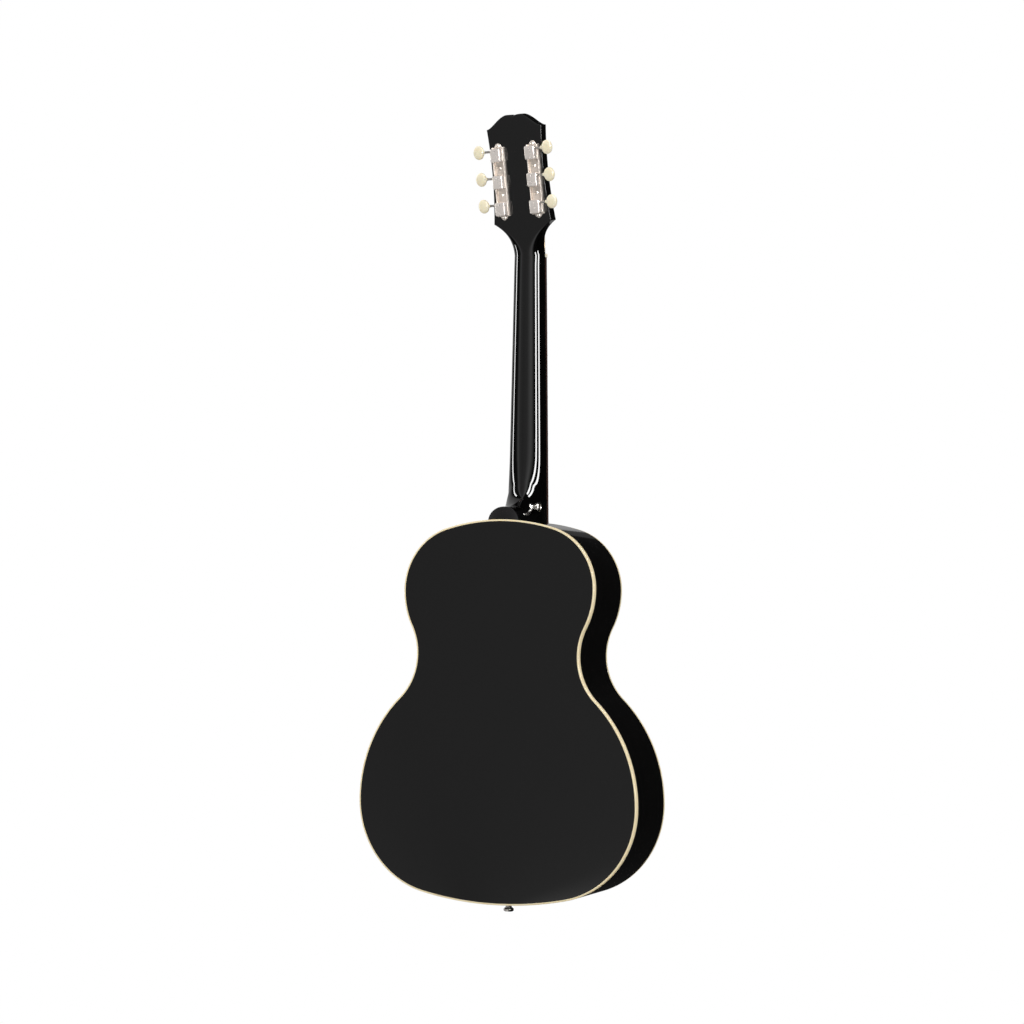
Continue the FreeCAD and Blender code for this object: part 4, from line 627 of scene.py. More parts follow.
MAPLE = Wood("maple", pale=(0.68, 0.48, 0.30), dark=(0.56, 0.37, 0.22), grain=Grain.ACROSS_BODY, rough=0.6)
TORTOISE = Tortoise("tortoise_sheet")
ROSETTE = RingInlay("rosette_rings")
PEARL = Pearl("pearl")


# ---- Pieces -----------------------------------------------------------------------------------

def make_piece(name: str, skins: list[Skin], finish: Finish, body: str, slot: str,
               replaces: tuple[str, ...] = (), crease: float = 34.0) -> bpy.types.Object:
    """Turns skins into one piece that rides on a body.

    Args:
        name: The piece's name.
        skins: Closed skins in millimetres.
        finish: What it is coated with.
        body: The frame body that it moves with.
        slot: The record's material slot for its finish; not used.
        replaces: Frame nodes that it stands for.
        crease: Angle past which an edge is drawn sharp.

    Returns:
        The new object, at the origin.
    """
    starts = np.cumsum([0] + [len(skin.points) for skin in skins])
    points = np.vstack([skin.points for skin in skins]) * MILLIMETRE
    quads = np.vstack([skin.quads + start for skin, start in zip(skins, starts)])
    tris = np.vstack([skin.tris + start for skin, start in zip(skins, starts)])
    corners = np.concatenate([quads.ravel(), tris.ravel()]).astype(np.int32)
    loops = np.concatenate([np.arange(len(quads)) * 4, 4 * len(quads) + np.arange(len(tris)) * 3])
    mesh = bpy.data.meshes.new(name)
    mesh.vertices.add(len(points))
    mesh.vertices.foreach_set("co", points.astype(np.float32).ravel())
    mesh.loops.add(len(corners))
    mesh.loops.foreach_set("vertex_index", corners)
    mesh.polygons.add(len(loops))
    mesh.polygons.foreach_set("loop_start", loops.astype(np.int32))
    mesh.update(calc_edges=True)
    build = bmesh.new()
    build.from_mesh(mesh)
    bmesh.ops.remove_doubles(build, verts=build.verts, dist=MERGE_DISTANCE)
    bmesh.ops.dissolve_degenerate(build, edges=build.edges, dist=MERGE_DISTANCE)
    bmesh.ops.recalc_face_normals(build, faces=build.faces)
    build.to_mesh(mesh)
    build.free()
    mesh.shade_smooth()
    mesh.set_sharp_from_angle(angle=math.radians(crease))
    mesh.materials.append(finish.material())
    piece = bpy.data.objects.new(name, mesh)
    bpy.context.scene.collection.objects.link(piece)
    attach(piece, body)
    if replaces:
        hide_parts(*replaces)
    LOG.info("%s: %d faces on %s", name, len(mesh.polygons), body)
    return piece


def dress(finishes: dict[str, Finish]) -> None:
    """Gives frame nodes that stay in sight their finishes."""
    for node, finish in finishes.items():
        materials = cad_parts[node].data.materials
        materials.clear()
        materials.append(finish.material())
        LOG.info("%s: dressed in %s", node, finish.name)


# ---- Body -------------------------------------------------------------------------------------

@dataclass(frozen=True)
class Outline:
    """The body's face: six arcs a side, each tangent to the next, from the tail to the neck."""

    length: float = BODY_LENGTH
    lower_half: float = 193.5
    lower_height: float = 127.0
    waist_half: float = 113.3
    waist_height: float = 313.6
    upper_half: float = 133.5
    upper_height: float = 396.6
    corner_radius: float = 119.0
    waist_radius: float = 76.8
    shoulder_radius: float = 82.0
    steps: int = 40

    @staticmethod
    def far_radius(across: float, up: float, near: float) -> float:
        """Radius of a large arc tangent to a small one inside it, from the gap between centres."""
        return (across ** 2 + up ** 2 - near ** 2) / (2 * (up - near))

    @staticmethod
    def beside_radius(across: float, up: float, waist: float) -> float:
        """Radius of an arc that meets the waist's hollow arc where both have one tangent."""
        return ((across - waist) ** 2 + up ** 2 - waist ** 2) / (2 * across)

    def arcs(self) -> list[tuple[float, float, float, bool]]:
        """Centre, radius and whether it is hollow, for each arc from the tail up."""
        tail = self.far_radius(self.lower_half - self.corner_radius, self.lower_height, self.corner_radius)
        flank = self.beside_radius(self.lower_half - self.waist_half,
                                   self.waist_height - self.lower_height, self.waist_radius)
        chest = self.beside_radius(self.upper_half - self.waist_half,
                                   self.upper_height - self.waist_height, self.waist_radius)
        crown = self.far_radius(self.upper_half - self.shoulder_radius,
                                self.length - self.upper_height, self.shoulder_radius)
        return [
            (0.0, tail, tail, False),
            (self.lower_half - self.corner_radius, self.lower_height, self.corner_radius, False),
            (self.lower_half - flank, self.lower_height, flank, False),
            (self.waist_half + self.waist_radius, self.waist_height, self.waist_radius, True),
            (self.upper_half - chest, self.upper_height, chest, False),
            (self.upper_half - self.shoulder_radius, self.upper_height, self.shoulder_radius, False),
            (0.0, self.length - crown, crown, False),
        ]

    def half(self, inset: float = 0.0) -> np.ndarray:
        """The bass half, from the tail to the neck, drawn in by inset.

        A point is its arc's centre plus the radius, less the inset, along the arc's angle.  Two
        arcs meet on the line through their centres.

        Returns:
            Points of shape (n, 2), across and up.
        """
        arcs = self.arcs()
        joints = [-math.pi / 2]
        for (x1, z1, r1, hollow1), (x2, z2, r2, hollow2) in zip(arcs, arcs[1:]):
            if hollow1 or hollow2:
                joints.append(math.atan2(z2 - z1, x2 - x1))
            else:
                outward = 1 if r1 > r2 else -1
                joints.append(math.atan2(outward * (z2 - z1), outward * (x2 - x1)))
        joints.append(math.pi / 2)
        runs = []
        for number, (x, z, radius, hollow) in enumerate(arcs):
            start, end = joints[number], joints[number + 1]
            if hollow:
                start, end = (start + math.pi) % (2 * math.pi), end % (2 * math.pi)
            if number and arcs[number - 1][3]:
                start -= math.pi
                start = (start + math.pi) % (2 * math.pi) - math.pi
            angle = np.linspace(start, end, self.steps)
            reach = radius + inset if hollow else radius - inset
            run = np.stack([x + reach * np.cos(angle), z + reach * np.sin(angle)], axis=-1)
            runs.append(run if number == len(arcs) - 1 else run[:-1])
        return np.vstack(runs)

    def whole(self, inset: float = 0.0) -> np.ndarray:
        """The closed outline: the bass half and its mirror image."""
        half = self.half(inset)
        other = half[-2:0:-1] * np.array([-1.0, 1.0])
        return np.vstack([half, other])


@dataclass
class Body:
    """Plates, sides and bindings of the body, with what is glued inside."""

    outline: Outline = field(default_factory=Outline)
    back_slope: float = 1.05
    rim: float = 2.2
    front_binding: float = 4.2
    back_binding: float = 6.0
    binding_round: float = 1.1
    top_thickness: float = 2.7
    back_thickness: float = 2.6
    hole_height: float = 348.0
    hole_radius: float = 50.0
    rosette_inner: float = 54.0
    rosette_outer: float = 61.0
    rosette_depth: float = 1.0
    plate_middle: float = 280.0

    def front_face(self, points: np.ndarray, depth: float) -> np.ndarray:
        """Lays an outline parallel to the soundboard, at a depth behind its face."""
        level = np.full(points.shape[:-1], FRONT - depth)
        return np.stack([points[..., 0], level, points[..., 1]], axis=-1)

    def back_face(self, points: np.ndarray, depth: float) -> np.ndarray:
        """Lays an outline parallel to the sloping back, at a depth in front of its face."""
        slope = math.radians(self.back_slope)
        level = -FRONT + points[..., 1] * math.tan(slope) + depth / math.cos(slope)
        return np.stack([points[..., 0], level, points[..., 1]], axis=-1)

    def binding(self, face, height: float) -> Skin:
        """Strip round a face: a section of inset and depth, rounded outside, carried round."""
        quarter = np.linspace(math.pi / 2, 0, 8)
        ease = self.binding_round
        section = [(self.rim, 0.0)]
        section += [(ease - ease * math.cos(a), ease - ease * math.sin(a)) for a in quarter]
        section += [(0.0, height - 0.04), (0.08, height), (self.rim, height)]
        return hoop(np.stack([face(self.outline.whole(inset), depth) for inset, depth in section]))

    def side(self, sign: int) -> Skin:
        """One bent side: a plank's section carried along half the outline."""
        rows = []
        for inset, share in ((0.0, 0.0), (0.0, 0.5), (0.0, 1.0), (self.rim, 1.0), (self.rim, 0.0)):
            half = self.outline.half(inset) * np.array([sign, 1.0])
            front = self.front_face(half, self.front_binding)
            back = self.back_face(half, self.back_binding)
            rows.append(front + share * (back - front))
        return loft(np.stack(rows, axis=1))

    def back_plate(self) -> Skin:
        """Flat plate: the outline shrunk towards a middle point, on two faces."""
        edge = self.outline.whole(self.rim)
        middle = np.array([0.0, self.plate_middle])
        shares = [0.04, 0.3, 0.55, 0.8, 1.0]
        rings = [self.back_face(middle + share * (edge - middle), self.back_thickness) for share in shares]
        rings += [self.back_face(middle + share * (edge - middle), 0.0) for share in reversed(shares)]
        return loft(np.stack(rings))

    def soundboard(self) -> Skin:
        """Plate with its hole and the rosette's channel, as a hoop of rings about the hole."""
        edge = self.outline.whole(self.rim)
        centre = np.array([0.0, self.hole_height])
        away = edge - centre
        away /= np.linalg.norm(away, axis=1)[:, None]
        ease = 0.5
        steps = [(self.hole_radius, self.top_thickness), (self.hole_radius, ease),
                 (self.hole_radius + ease * 0.3, ease * 0.3), (self.hole_radius + ease, 0.0),
                 (self.rosette_inner, 0.0), (self.rosette_inner, self.rosette_depth),
                 (self.rosette_outer, self.rosette_depth), (self.rosette_outer, 0.0)]
        rings = [self.front_face(centre + radius * away, depth) for radius, depth in steps]
        start = centre + self.rosette_outer * away
        rings += [self.front_face(start + share * (edge - start), 0.0) for share in (0.25, 0.5, 0.75, 1.0)]
        start = centre + self.hole_radius * away
        rings += [self.front_face(start + share * (edge - start), self.top_thickness)
                  for share in (1.0, 0.66, 0.33)]
        return hoop(np.stack(rings))

    def build(self) -> None:
        """Makes the shell's pieces and dresses what is inside it."""
        top_binding = self.binding(self.front_face, self.front_binding)
        back_binding = self.binding(self.back_face, self.back_binding)
        for name, skin, finish, slot, node in (
                ("back_panel", self.back_plate(), BLACK_BODY, "body_lacquer", "back_plate"),
                ("top_panel", self.soundboard(), BLACK_BODY, "top_lacquer", "soundboard"),
                ("bass_rib", self.side(1), BLACK_BODY, "body_lacquer", "bass_side"),
                ("treble_rib", self.side(-1), BLACK_BODY, "body_lacquer", "treble_side"),
                ("top_edge_binding", top_binding, CREAM_BINDING, "binding", "top_binding"),
                ("back_edge_binding", back_binding, CREAM_BINDING, "binding", "back_binding")):
            make_piece(name, [skin], finish, "guitar", slot, (node,))
        dress({"neck_block": MAHOGANY, "tail_block": MAHOGANY, "top_linings": BASSWOOD,
               "back_linings": BASSWOOD, "top_braces": SPRUCE, "back_braces": SPRUCE,
               "bridge_plate": MAPLE, "rosette": ROSETTE, "pickguard": TORTOISE})


# ---- Neck and headstock -----------------------------------------------------------------------

@dataclass
class Neck:
    """Heel, shaft and headstock in one skin, with the veneer, the heel cap and the board."""

    nut_width: float = 43.0
    heel_width: float = 54.5
    depth_nut: float = 15.4
    depth_heel: float = 17.4
    roundness: float = 0.97
    cap_half: float = 21.5
    cap_reach: float = 19.0
    cap_thickness: float = 2.0
    heel_half: float = 26.65
    heel_sweep: float = 42.0
    heel_foot: float = BODY_LENGTH - 2.0
    fillet: float = 18.0
    bend_length: float = 25.0
    veneer: float = 2.0
    head_thickness: float = 15.6
    corner_height: float = 42.6
    corner_half: float = 41.0
    middle_half: float = 36.8
    top_height: float = 165.6
    top_half: float = 39.0
    crest_height: float = 182.4
    lobe_half: float = 9.5
    notch_drop: float = 2.4
    edge_round: float = 0.9
    slope_share: float = 0.2
    step_lead: float = 0.18
    brow_share: float = 0.15
    throat_power: float = 3.5
    top_power: float = 1.6
    sweep_margin: float = 22.0
    sweep_spacing: float = 1.25
    farthest: float = 140.0
    halvings: int = 42
    corner_column: int = 13

    def __post_init__(self) -> None:
        self.cap_back = float(low_corner("heel_cap")[1])
        self.cap_level = self.cap_back + self.cap_thickness
        self.blend_level = FRONT - self.depth_heel + 3.5

    def half_width(self, height: np.ndarray) -> np.ndarray:
        """Half the shaft's width: an even taper from the body to the nut."""
        share = (height - BODY_LENGTH) / (NUT_HEIGHT - BODY_LENGTH)
        return self.heel_width / 2 + share * (self.nut_width - self.heel_width) / 2

    def head_half(self, height: np.ndarray) -> np.ndarray:
        """Half the headstock's width: a power curve up to the corners, then one hollow arc."""
        start = self.nut_width / 2 - 0.1
        up = np.clip(height, 0, None) / self.corner_height
        throat = start + (self.corner_half - start) * up ** self.throat_power
        middle = (self.corner_height + self.top_height) / 2
        reach = (self.top_height - self.corner_height) / 2
        share = (height - middle) / reach
        lean = (self.corner_half - self.top_half) / 2
        mean = (self.corner_half + self.top_half) / 2
        side = self.middle_half + (mean - self.middle_half) * share ** 2 - lean * share
        return np.where(height < self.corner_height, throat, side)

    def head_top(self, across: np.ndarray) -> np.ndarray:
        """Height of the headstock's top edge: hollow shoulders that rise to two lobes and a notch.

        The shoulder is part straight slope and part smooth step from the corner to the lobe; the
        lobe is a gentle fall with a steep last part down to the notch.
        """
        x = np.abs(across)
        share = np.clip((self.top_half - x) / (self.top_half - self.lobe_half), 0, 1)
        step = share * (1 + self.step_lead - self.step_lead * share)
        rise = self.slope_share * share + (1 - self.slope_share) * smooth(step)
        shoulder = self.top_height + (self.crest_height - self.top_height) * rise
        inward = np.clip(1 - x / self.lobe_half, 0, 1)
        fall = self.brow_share * inward + (1 - self.brow_share) * inward ** 3
        brow = self.crest_height - self.notch_drop * fall
        return np.where(x < self.lobe_half, brow, shoulder)

    @staticmethod
    def section(half, depth, wide, deep, side: int = 3, arc: int = 17, flat: int = 33):
        """Right half of the section behind the face: a side, an elliptical corner and a flat back.

        Args:
            half: Half widths, one a row.
            depth: Depths, one a row.
            wide: The corner's half axis across.
            deep: The corner's half axis down.
            side: Points down the side.
            arc: Points round the corner.
            flat: Points along the back, to the middle.

        Returns:
            Distances across and behind the face, each of shape (rows, columns).
        """
        half, depth, wide, deep = (np.asarray(v, float)[:, None] for v in (half, depth, wide, deep))
        turn = np.linspace(0, math.pi / 2, arc)[1:]
        fall = np.linspace(0, 1, side)
        cross = np.linspace(1, 0, flat)[1:]
        x = np.hstack([half + 0 * fall, half - wide + wide * np.cos(turn), (half - wide) * cross])
        d = np.hstack([(depth - deep) * fall, depth - deep + deep * np.sin(turn), depth + 0 * cross])
        return x, d

    @staticmethod
    def ray_reach(angle, half, depth, wide, deep) -> np.ndarray:
        """How far a ray from the face's middle runs to the section's edge.

        The nearest of the side, the back and the corner's ellipse, whose crossing is the larger
        root of a quadratic.
        """
        across, down = np.maximum(np.cos(angle), 1e-9), np.maximum(np.sin(angle), 1e-9)
        to_side, to_back = half / across, depth / down
        cx, cd = half - wide, depth - deep
        a = (across / wide) ** 2 + (down / deep) ** 2
        b = across * cx / wide ** 2 + down * cd / deep ** 2
        c = (cx / wide) ** 2 + (cd / deep) ** 2 - 1
        to_arc = (b + np.sqrt(np.maximum(b * b - a * c, 0))) / a
        on_side = to_side * down <= cd
        on_back = to_back * across <= cx
        return np.where(on_side, to_side, np.where(on_back, to_back, to_arc))

    def heel_reach(self, angle: np.ndarray, height: np.ndarray) -> np.ndarray:
        """How far a ray runs to the heel's skin, found by halving.

        At each depth the heel is half an oval: its half width grows with the square, and its
        reach up the neck with the cube, of the share of the way from the cap to the shaft.
        """
        near, far = np.zeros_like(angle), np.full_like(angle, self.farthest)
        for _ in range(self.halvings):
            reach = (near + far) / 2
            x, y = reach * np.cos(angle), FRONT - reach * np.sin(angle)
            share = np.maximum((y - self.cap_level) / (self.blend_level - self.cap_level), 0)
            half = self.cap_half + (self.heel_half - self.cap_half) * np.minimum(share, 1) ** 2
            length = self.cap_reach + self.heel_sweep * share ** 3
            inside = ((x / half) ** 2 + ((height - self.heel_foot) / length) ** 2 < 1) & (y > self.cap_level)
            near, far = np.where(inside, reach, near), np.where(inside, far, reach)
        return near

    def shaft_rows(self) -> tuple[np.ndarray, np.ndarray]:
        """Heights of the sections along the shaft, and how far each leans back."""
        swing = np.linspace(0, math.pi / 2, 20)
        over_cap = self.heel_foot + self.cap_reach * np.sin(swing)
        sweep = over_cap[-1] + (self.heel_sweep + self.sweep_margin) * (
            np.linspace(0, 1, 34)[1:] ** self.sweep_spacing)
        plain = np.linspace(sweep[-1], HEAD_START - self.bend_length, 16)[1:]
        bend = np.linspace(HEAD_START - self.bend_length, HEAD_START, 14)[1:]
        heights = np.concatenate([over_cap, sweep, plain, bend])
        share = np.clip((heights - (HEAD_START - self.bend_length)) / self.bend_length, 0, 1)
        return heights, HEAD_TILT * smooth(share)

    def shaft(self) -> tuple[np.ndarray, np.ndarray]:
        """Back sheet and face sheet of the heel and shaft, right half, of shape (rows, columns, 3).

        The shaft's and the heel's rays are blended: where they differ by less than the fillet,
        the longer one is raised by a quarter of the square of what is left of it, less so beside
        the face.
        """
        heights, lean = self.shaft_rows()
        share = (heights - BODY_LENGTH) / (HEAD_START - BODY_LENGTH)
        depth = self.depth_heel + share * (self.depth_nut - self.depth_heel)
        half = self.half_width(heights)
        wide, deep = self.roundness * half, self.roundness * depth
        x, d = self.section(half, depth, wide, deep)
        angle = np.arctan2(d, x)
        corner = angle[:, self.corner_column][:, None]
        step = np.clip((heights - self.heel_foot) / self.cap_reach, 0, 1)
        edge = np.arctan2(FRONT - self.cap_level, self.cap_half * np.sqrt(1 - step ** 2))[:, None]
        beyond = np.clip((heights - self.heel_foot - self.cap_reach) / self.heel_sweep, 0, 1)[:, None]
        edge = edge + (corner - edge) * smooth(beyond)
        right = math.pi / 2
        warped = np.where(np.arange(angle.shape[1]) <= self.corner_column, angle * edge / corner,
                          right - (right - angle) * (right - edge) / (right - corner))
        own = self.ray_reach(warped, half[:, None], depth[:, None], wide[:, None], deep[:, None])
        heel = self.heel_reach(warped, np.broadcast_to(heights[:, None], warped.shape))
        overlap = np.clip(self.fillet - np.abs(own - heel), 0, None) / self.fillet
        raised = np.maximum(own, heel) + overlap ** 2 * np.sin(warped) * self.fillet / 4
        floor = (FRONT - self.cap_level) / np.maximum(np.sin(warped), 1e-9)
        reach = np.where(heel > 0, np.minimum(raised, floor), own)
        x, d = reach * np.cos(warped), reach * np.sin(warped)
        back = np.stack([x, FRONT - d * np.cos(lean)[:, None],
                         heights[:, None] - d * np.sin(lean)[:, None]], axis=-1)
        face = np.stack([np.minimum(x, half[:, None]), np.full_like(x, FRONT),
                         np.broadcast_to(heights[:, None], x.shape)], axis=-1)
        return back, face

    def head_rows(self) -> tuple[np.ndarray, ...]:
        """Side heights and section sizes of the headstock, from the nut to the top edge."""
        throat = self.corner_height * np.linspace(0, 1, 30)[1:]
        side = self.corner_height + (self.top_height - self.corner_height) * np.linspace(0, 1, 40)[1:]
        heights = np.concatenate([throat, side])
        share = np.clip(heights / self.corner_height, 0, 1)
        half = self.head_half(heights)
        depth = self.depth_nut + (self.head_thickness - self.depth_nut) * share
        settle = 1 - smooth(share)
        wide = self.edge_round + (self.roundness * half - self.edge_round) * settle
        deep = self.edge_round + (self.roundness * depth - self.edge_round) * settle
        return heights, half, depth, wide, deep

    def head_height(self, heights: np.ndarray, half: np.ndarray, x: np.ndarray) -> np.ndarray:
        """Heights of a section's points: level below the corners, and bent to the top edge above.

        Above the corners a point keeps its share of the way to the top edge over it.
        """
        share = np.clip((heights - self.corner_height) / (self.top_height - self.corner_height), 0, 1)
        top = self.head_top(x / half[:, None] * self.top_half)
        return heights[:, None] + share[:, None] ** self.top_power * (top - self.top_height)

    def head(self) -> tuple[np.ndarray, np.ndarray]:
        """Back sheet and face sheet of the headstock's wood, right half, in the guitar's frame."""
        heights, half, depth, wide, deep = self.head_rows()
        x, d = self.section(half, depth, wide, deep)
        z = self.head_height(heights, half, x)
        ease = self.edge_round
        turn = np.linspace(0, math.pi / 2, 6)[1:]
        rim_z = np.concatenate([z[:-1], *[z[-1:] - ease + ease * math.sin(a) for a in turn]])
        rim_d = np.concatenate([d[:-1], *[np.minimum(d[-1:], self.head_thickness - ease
                                                     + ease * math.cos(a)) for a in turn]])
        rim_x = np.concatenate([x[:-1], *[x[-1:] for _ in turn]])
        back = on_head(np.stack([rim_x, -rim_d, rim_z], axis=-1))
        face = on_head(np.stack([rim_x, np.full_like(rim_x, -self.veneer), rim_z], axis=-1))
        return back, face

    @staticmethod
    def mirrored(sheet: np.ndarray) -> np.ndarray:
        """A right half sheet joined to its mirror image at the middle."""
        other = sheet[:, -2::-1] * np.array([-1.0, 1.0, 1.0])
        return np.concatenate([sheet, other], axis=1)

    def wood(self) -> Skin:
        """The whole neck in one skin."""
        shaft_back, shaft_face = self.shaft()
        head_back, head_face = self.head()
        back = np.concatenate([shaft_back, head_back])
        face = np.concatenate([shaft_face, head_face])
        return between(self.mirrored(back), self.mirrored(face))

    def face_sheet(self) -> Skin:
        """Veneer over the headstock's face, from the nut to the top edge."""
        heights, half, *_ = self.head_rows()
        heights = np.concatenate([[0.6], heights])
        half = np.concatenate([self.head_half(np.array([0.6])), half])
        across = np.linspace(1, 0, 40)
        x = half[:, None] * across
        z = self.head_height(heights, half, x)
        front = on_head(np.stack([x, np.zeros_like(x), z], axis=-1))
        back = on_head(np.stack([x, np.full_like(x, -self.veneer), z], axis=-1))
        return between(self.mirrored(front), self.mirrored(back))

    def cap(self) -> Skin:
        """Heel cap: half an oval with a softened outer edge."""
        ease = 0.5
        turn = np.linspace(0, math.pi, 49)
        rings = []
        for level, inset in ((0.0, ease), (ease * 0.3, ease * 0.3), (ease, 0.0), (self.cap_thickness, 0.0)):
            x, z = (self.cap_half - inset) * np.cos(turn), (self.cap_reach - inset) * np.sin(turn)
            rings.append(np.stack([x, np.full_like(x, self.cap_back + level), self.heel_foot + z], axis=-1))
        return loft(np.stack(rings))

    def build(self) -> None:
        """Makes the neck's pieces and dresses the board's."""
        make_piece("neck_and_head", [self.wood()], BLACK_NECK, "guitar", "neck_lacquer", ("neck",), 40.0)
        make_piece("head_face", [self.face_sheet()], BLACK_NECK, "guitar", "veneer_lacquer",
                   ("headstock_veneer",))
        make_piece("heel_end_cap", [self.cap()], BLACK_CAP, "guitar", "neck_lacquer", ("heel_cap",))
        dress({"fingerboard": ROSEWOOD_BOARD, "frets": FRET_WIRE, "fret_markers": PEARL, "nut": BONE,
               "truss_rod": ROD_STEEL, "truss_rod_nut": BRASS, "truss_rod_cover": ROD_COVER,
               "cover_screws": SCREW_NICKEL})


# ---- Tuners -----------------------------------------------------------------------------------

class Flank(Enum):
    """Side of the headstock, as the sign of X."""

    BASS = 1
    TREBLE = -1


@dataclass(frozen=True)
class TunerPlace:
    """Where one tuner sits: its number, its side and its rank from the nut."""

    number: int

    @property
    def flank(self) -> Flank:
        """Strings four to six are on the bass side."""
        return Flank.BASS if self.number > 3 else Flank.TREBLE

    @property
    def rank(self) -> int:
        """Nought nearest the nut, which takes an outer string."""
        return self.number - 1 if self.flank is Flank.TREBLE else 6 - self.number


@dataclass
class Tuners:
    """Two plates with three covered worm gears each, their buttons, screws and bushings."""

    first_height: float = 67.6
    spacing: float = 34.8
    half_spread: float = 24.6
    gear_offset: float = 7.3
    shaft_level: float = -25.1
    head_back: float = -15.6
    plate_half: float = 8.2
    plate_thickness: float = 1.0
    lip_width: float = 1.7
    lip_height: float = 3.6
    margin_low: float = 15.2
    margin_high: float = 5.0
    tab_radius: float = 4.8
    cover_half: float = 6.9
    cover_above: float = 3.4
    cover_below: float = 13.8
    cover_depth: float = 12.6
    cover_round: float = 1.3
    cover_wall: float = 0.5
    cover_corner: float = 1.6
    oil_radius: float = 0.6
    oil_land: float = 1.6
    oil_ease: float = 0.15
    button_centre: float = 48.6
    button_half_width: float = 7.4
    button_half_height: float = 9.0
    button_half_thickness: float = 3.5
    collar_radius: float = 2.1
    screw_radius: float = 2.1
    screw_height: float = 1.2
    bushing_radius: float = 4.4
    bushing_flange: float = 5.8
    post_radius: float = 3.06

    def shaft_height(self, rank: int) -> float:
        """Height of a tuner's shaft on the headstock."""
        return self.first_height + rank * self.spacing

    def screw_heights(self) -> list[float]:
        """Screws in both tabs and between the covers."""
        gaps = [self.shaft_height(rank) + (self.spacing + self.cover_above - self.cover_below) / 2
                for rank in (0, 1)]
        low = self.shaft_height(0) - self.margin_low - self.tab_radius * 0.3
        high = self.shaft_height(2) + self.margin_high + self.tab_radius * 0.3
        return [low, *gaps, high]

    def tab(self, middle: float, height: float, up: int) -> Skin:
        """Crown-shaped end of a plate: a half disc whose radius swells at three points."""
        turn = full_turn(72)
        outward = np.clip(np.sin(turn), 0, None)
        swell = 1 + 0.05 * np.cos(4 * (turn - math.pi / 2)) * np.sqrt(outward)
        rings = []
        back = self.head_back - self.plate_thickness
        for level, inset in ((back, 0.25), (back + 0.25, 0.0), (self.head_back, 0.0)):
            radius = self.tab_radius * swell - inset
            rings.append(np.stack([middle + radius * np.cos(turn), np.full_like(turn, level),
                                   height + up * radius * np.sin(turn)], axis=-1))
        return loft(np.stack(rings))

    def plate(self, flank: Flank) -> list[Skin]:
        """Strip with a raised lip along each edge and a crown at each end."""
        middle = flank.value * self.half_spread
        low = self.shaft_height(0) - self.margin_low
        high = self.shaft_height(2) + self.margin_high
        back = self.head_back - self.plate_thickness
        skins = [rounded_box((middle - self.plate_half, back, low),
                             (middle + self.plate_half, self.head_back, high), 0.3)]
        for edge in (middle - self.plate_half, middle + self.plate_half - self.lip_width):
            skins.append(rounded_box((edge, back - self.lip_height, low),
                                     (edge + self.lip_width, back + 0.4, high), self.lip_width * 0.48, 6))
        skins += [self.tab(middle, low, -1), self.tab(middle, high, 1)]
        return [skin.moved(on_head) for skin in skins]

    def cover(self, place: TunerPlace) -> Skin:
        """Stamped box as one bent sheet: rings from the oil hole out over the face and down.

        The outline is a rectangle with round corners; a ring inside it is the same outline drawn
        in, and the hole's ring takes the outline's directions at its own radius.
        """
        middle = place.flank.value * self.half_spread
        shaft = self.shaft_height(place.rank)
        base = self.head_back - self.plate_thickness
        top = base - self.cover_depth
        low, high = shaft - self.cover_below, shaft + self.cover_above

        def outline(inset: float) -> np.ndarray:
            """Rounded rectangle, drawn in by inset."""
            ease = max(self.cover_corner - inset, self.oil_ease)
            turn, side = corner_turns(7)
            half = np.array([self.cover_half - inset - ease, (high - low) / 2 - inset - ease])
            centre = np.array([middle, (low + high) / 2])
            return centre + side * half + ease * np.stack([np.cos(turn), np.sin(turn)], axis=-1)

        hole = np.array([middle, shaft])

        def rim(radius: float) -> np.ndarray:
            """Ring round the oil hole."""
            away = outline(0.0) - hole
            return hole + radius * away / np.linalg.norm(away, axis=1)[:, None]

        ease, wall = self.cover_round, self.cover_wall
        outer = [(rim(self.oil_radius), top + self.oil_ease), (rim(self.oil_radius + self.oil_ease), top),
                 (rim(self.oil_land), top), (outline(ease), top)]
        for turn in np.linspace(0, math.pi / 2, 7)[1:]:
            outer.append((outline(ease - ease * math.sin(turn)), top + ease - ease * math.cos(turn)))
        outer.append((outline(0.0), base))
        inner = [(outline(wall), base), (outline(wall), top + ease), (outline(ease + wall), top + wall),
                 (rim(self.oil_land), top + wall), (rim(self.oil_radius), top + wall)]
        rings = [np.stack([flat[:, 0], np.full(len(flat), level), flat[:, 1]], axis=-1)
                 for flat, level in outer + inner]
        return hoop(np.stack(rings)).moved(on_head)

    def button(self, place: TunerPlace) -> list[Skin]:
        """Oval button: a flattened ball whose section is a superellipse, on a flared collar."""
        side = place.flank.value
        centre = np.array([side * self.button_centre, self.shaft_level, self.shaft_height(place.rank)])
        rise = np.linspace(-math.pi / 2, math.pi / 2, 33)[:, None]
        turn = full_turn(72)
        power = 2 / 2.5
        reach = np.abs(np.cos(rise)) ** power
        level = np.sign(np.sin(rise)) * np.abs(np.sin(rise)) ** power
        x = self.button_half_width * reach * np.cos(turn)
        z = self.button_half_height * reach * np.sin(turn)
        y = self.button_half_thickness * level * np.ones_like(turn)
        oval = loft(centre + np.stack([x, y, z], axis=-1))
        inner = self.button_centre - self.button_half_width
        profile = eased([(1.55, inner - 1.6), (self.collar_radius, inner - 1.4),
                         (self.collar_radius * 0.9, inner + 0.2), (self.collar_radius * 1.2, inner + 2.2),
                         (0.5, inner + 3.0)], 0.6)
        collar = turned(profile, (0, centre[1], centre[2]), (side, 0, 0), 36)
        return [oval.moved(on_head), collar.moved(on_head)]

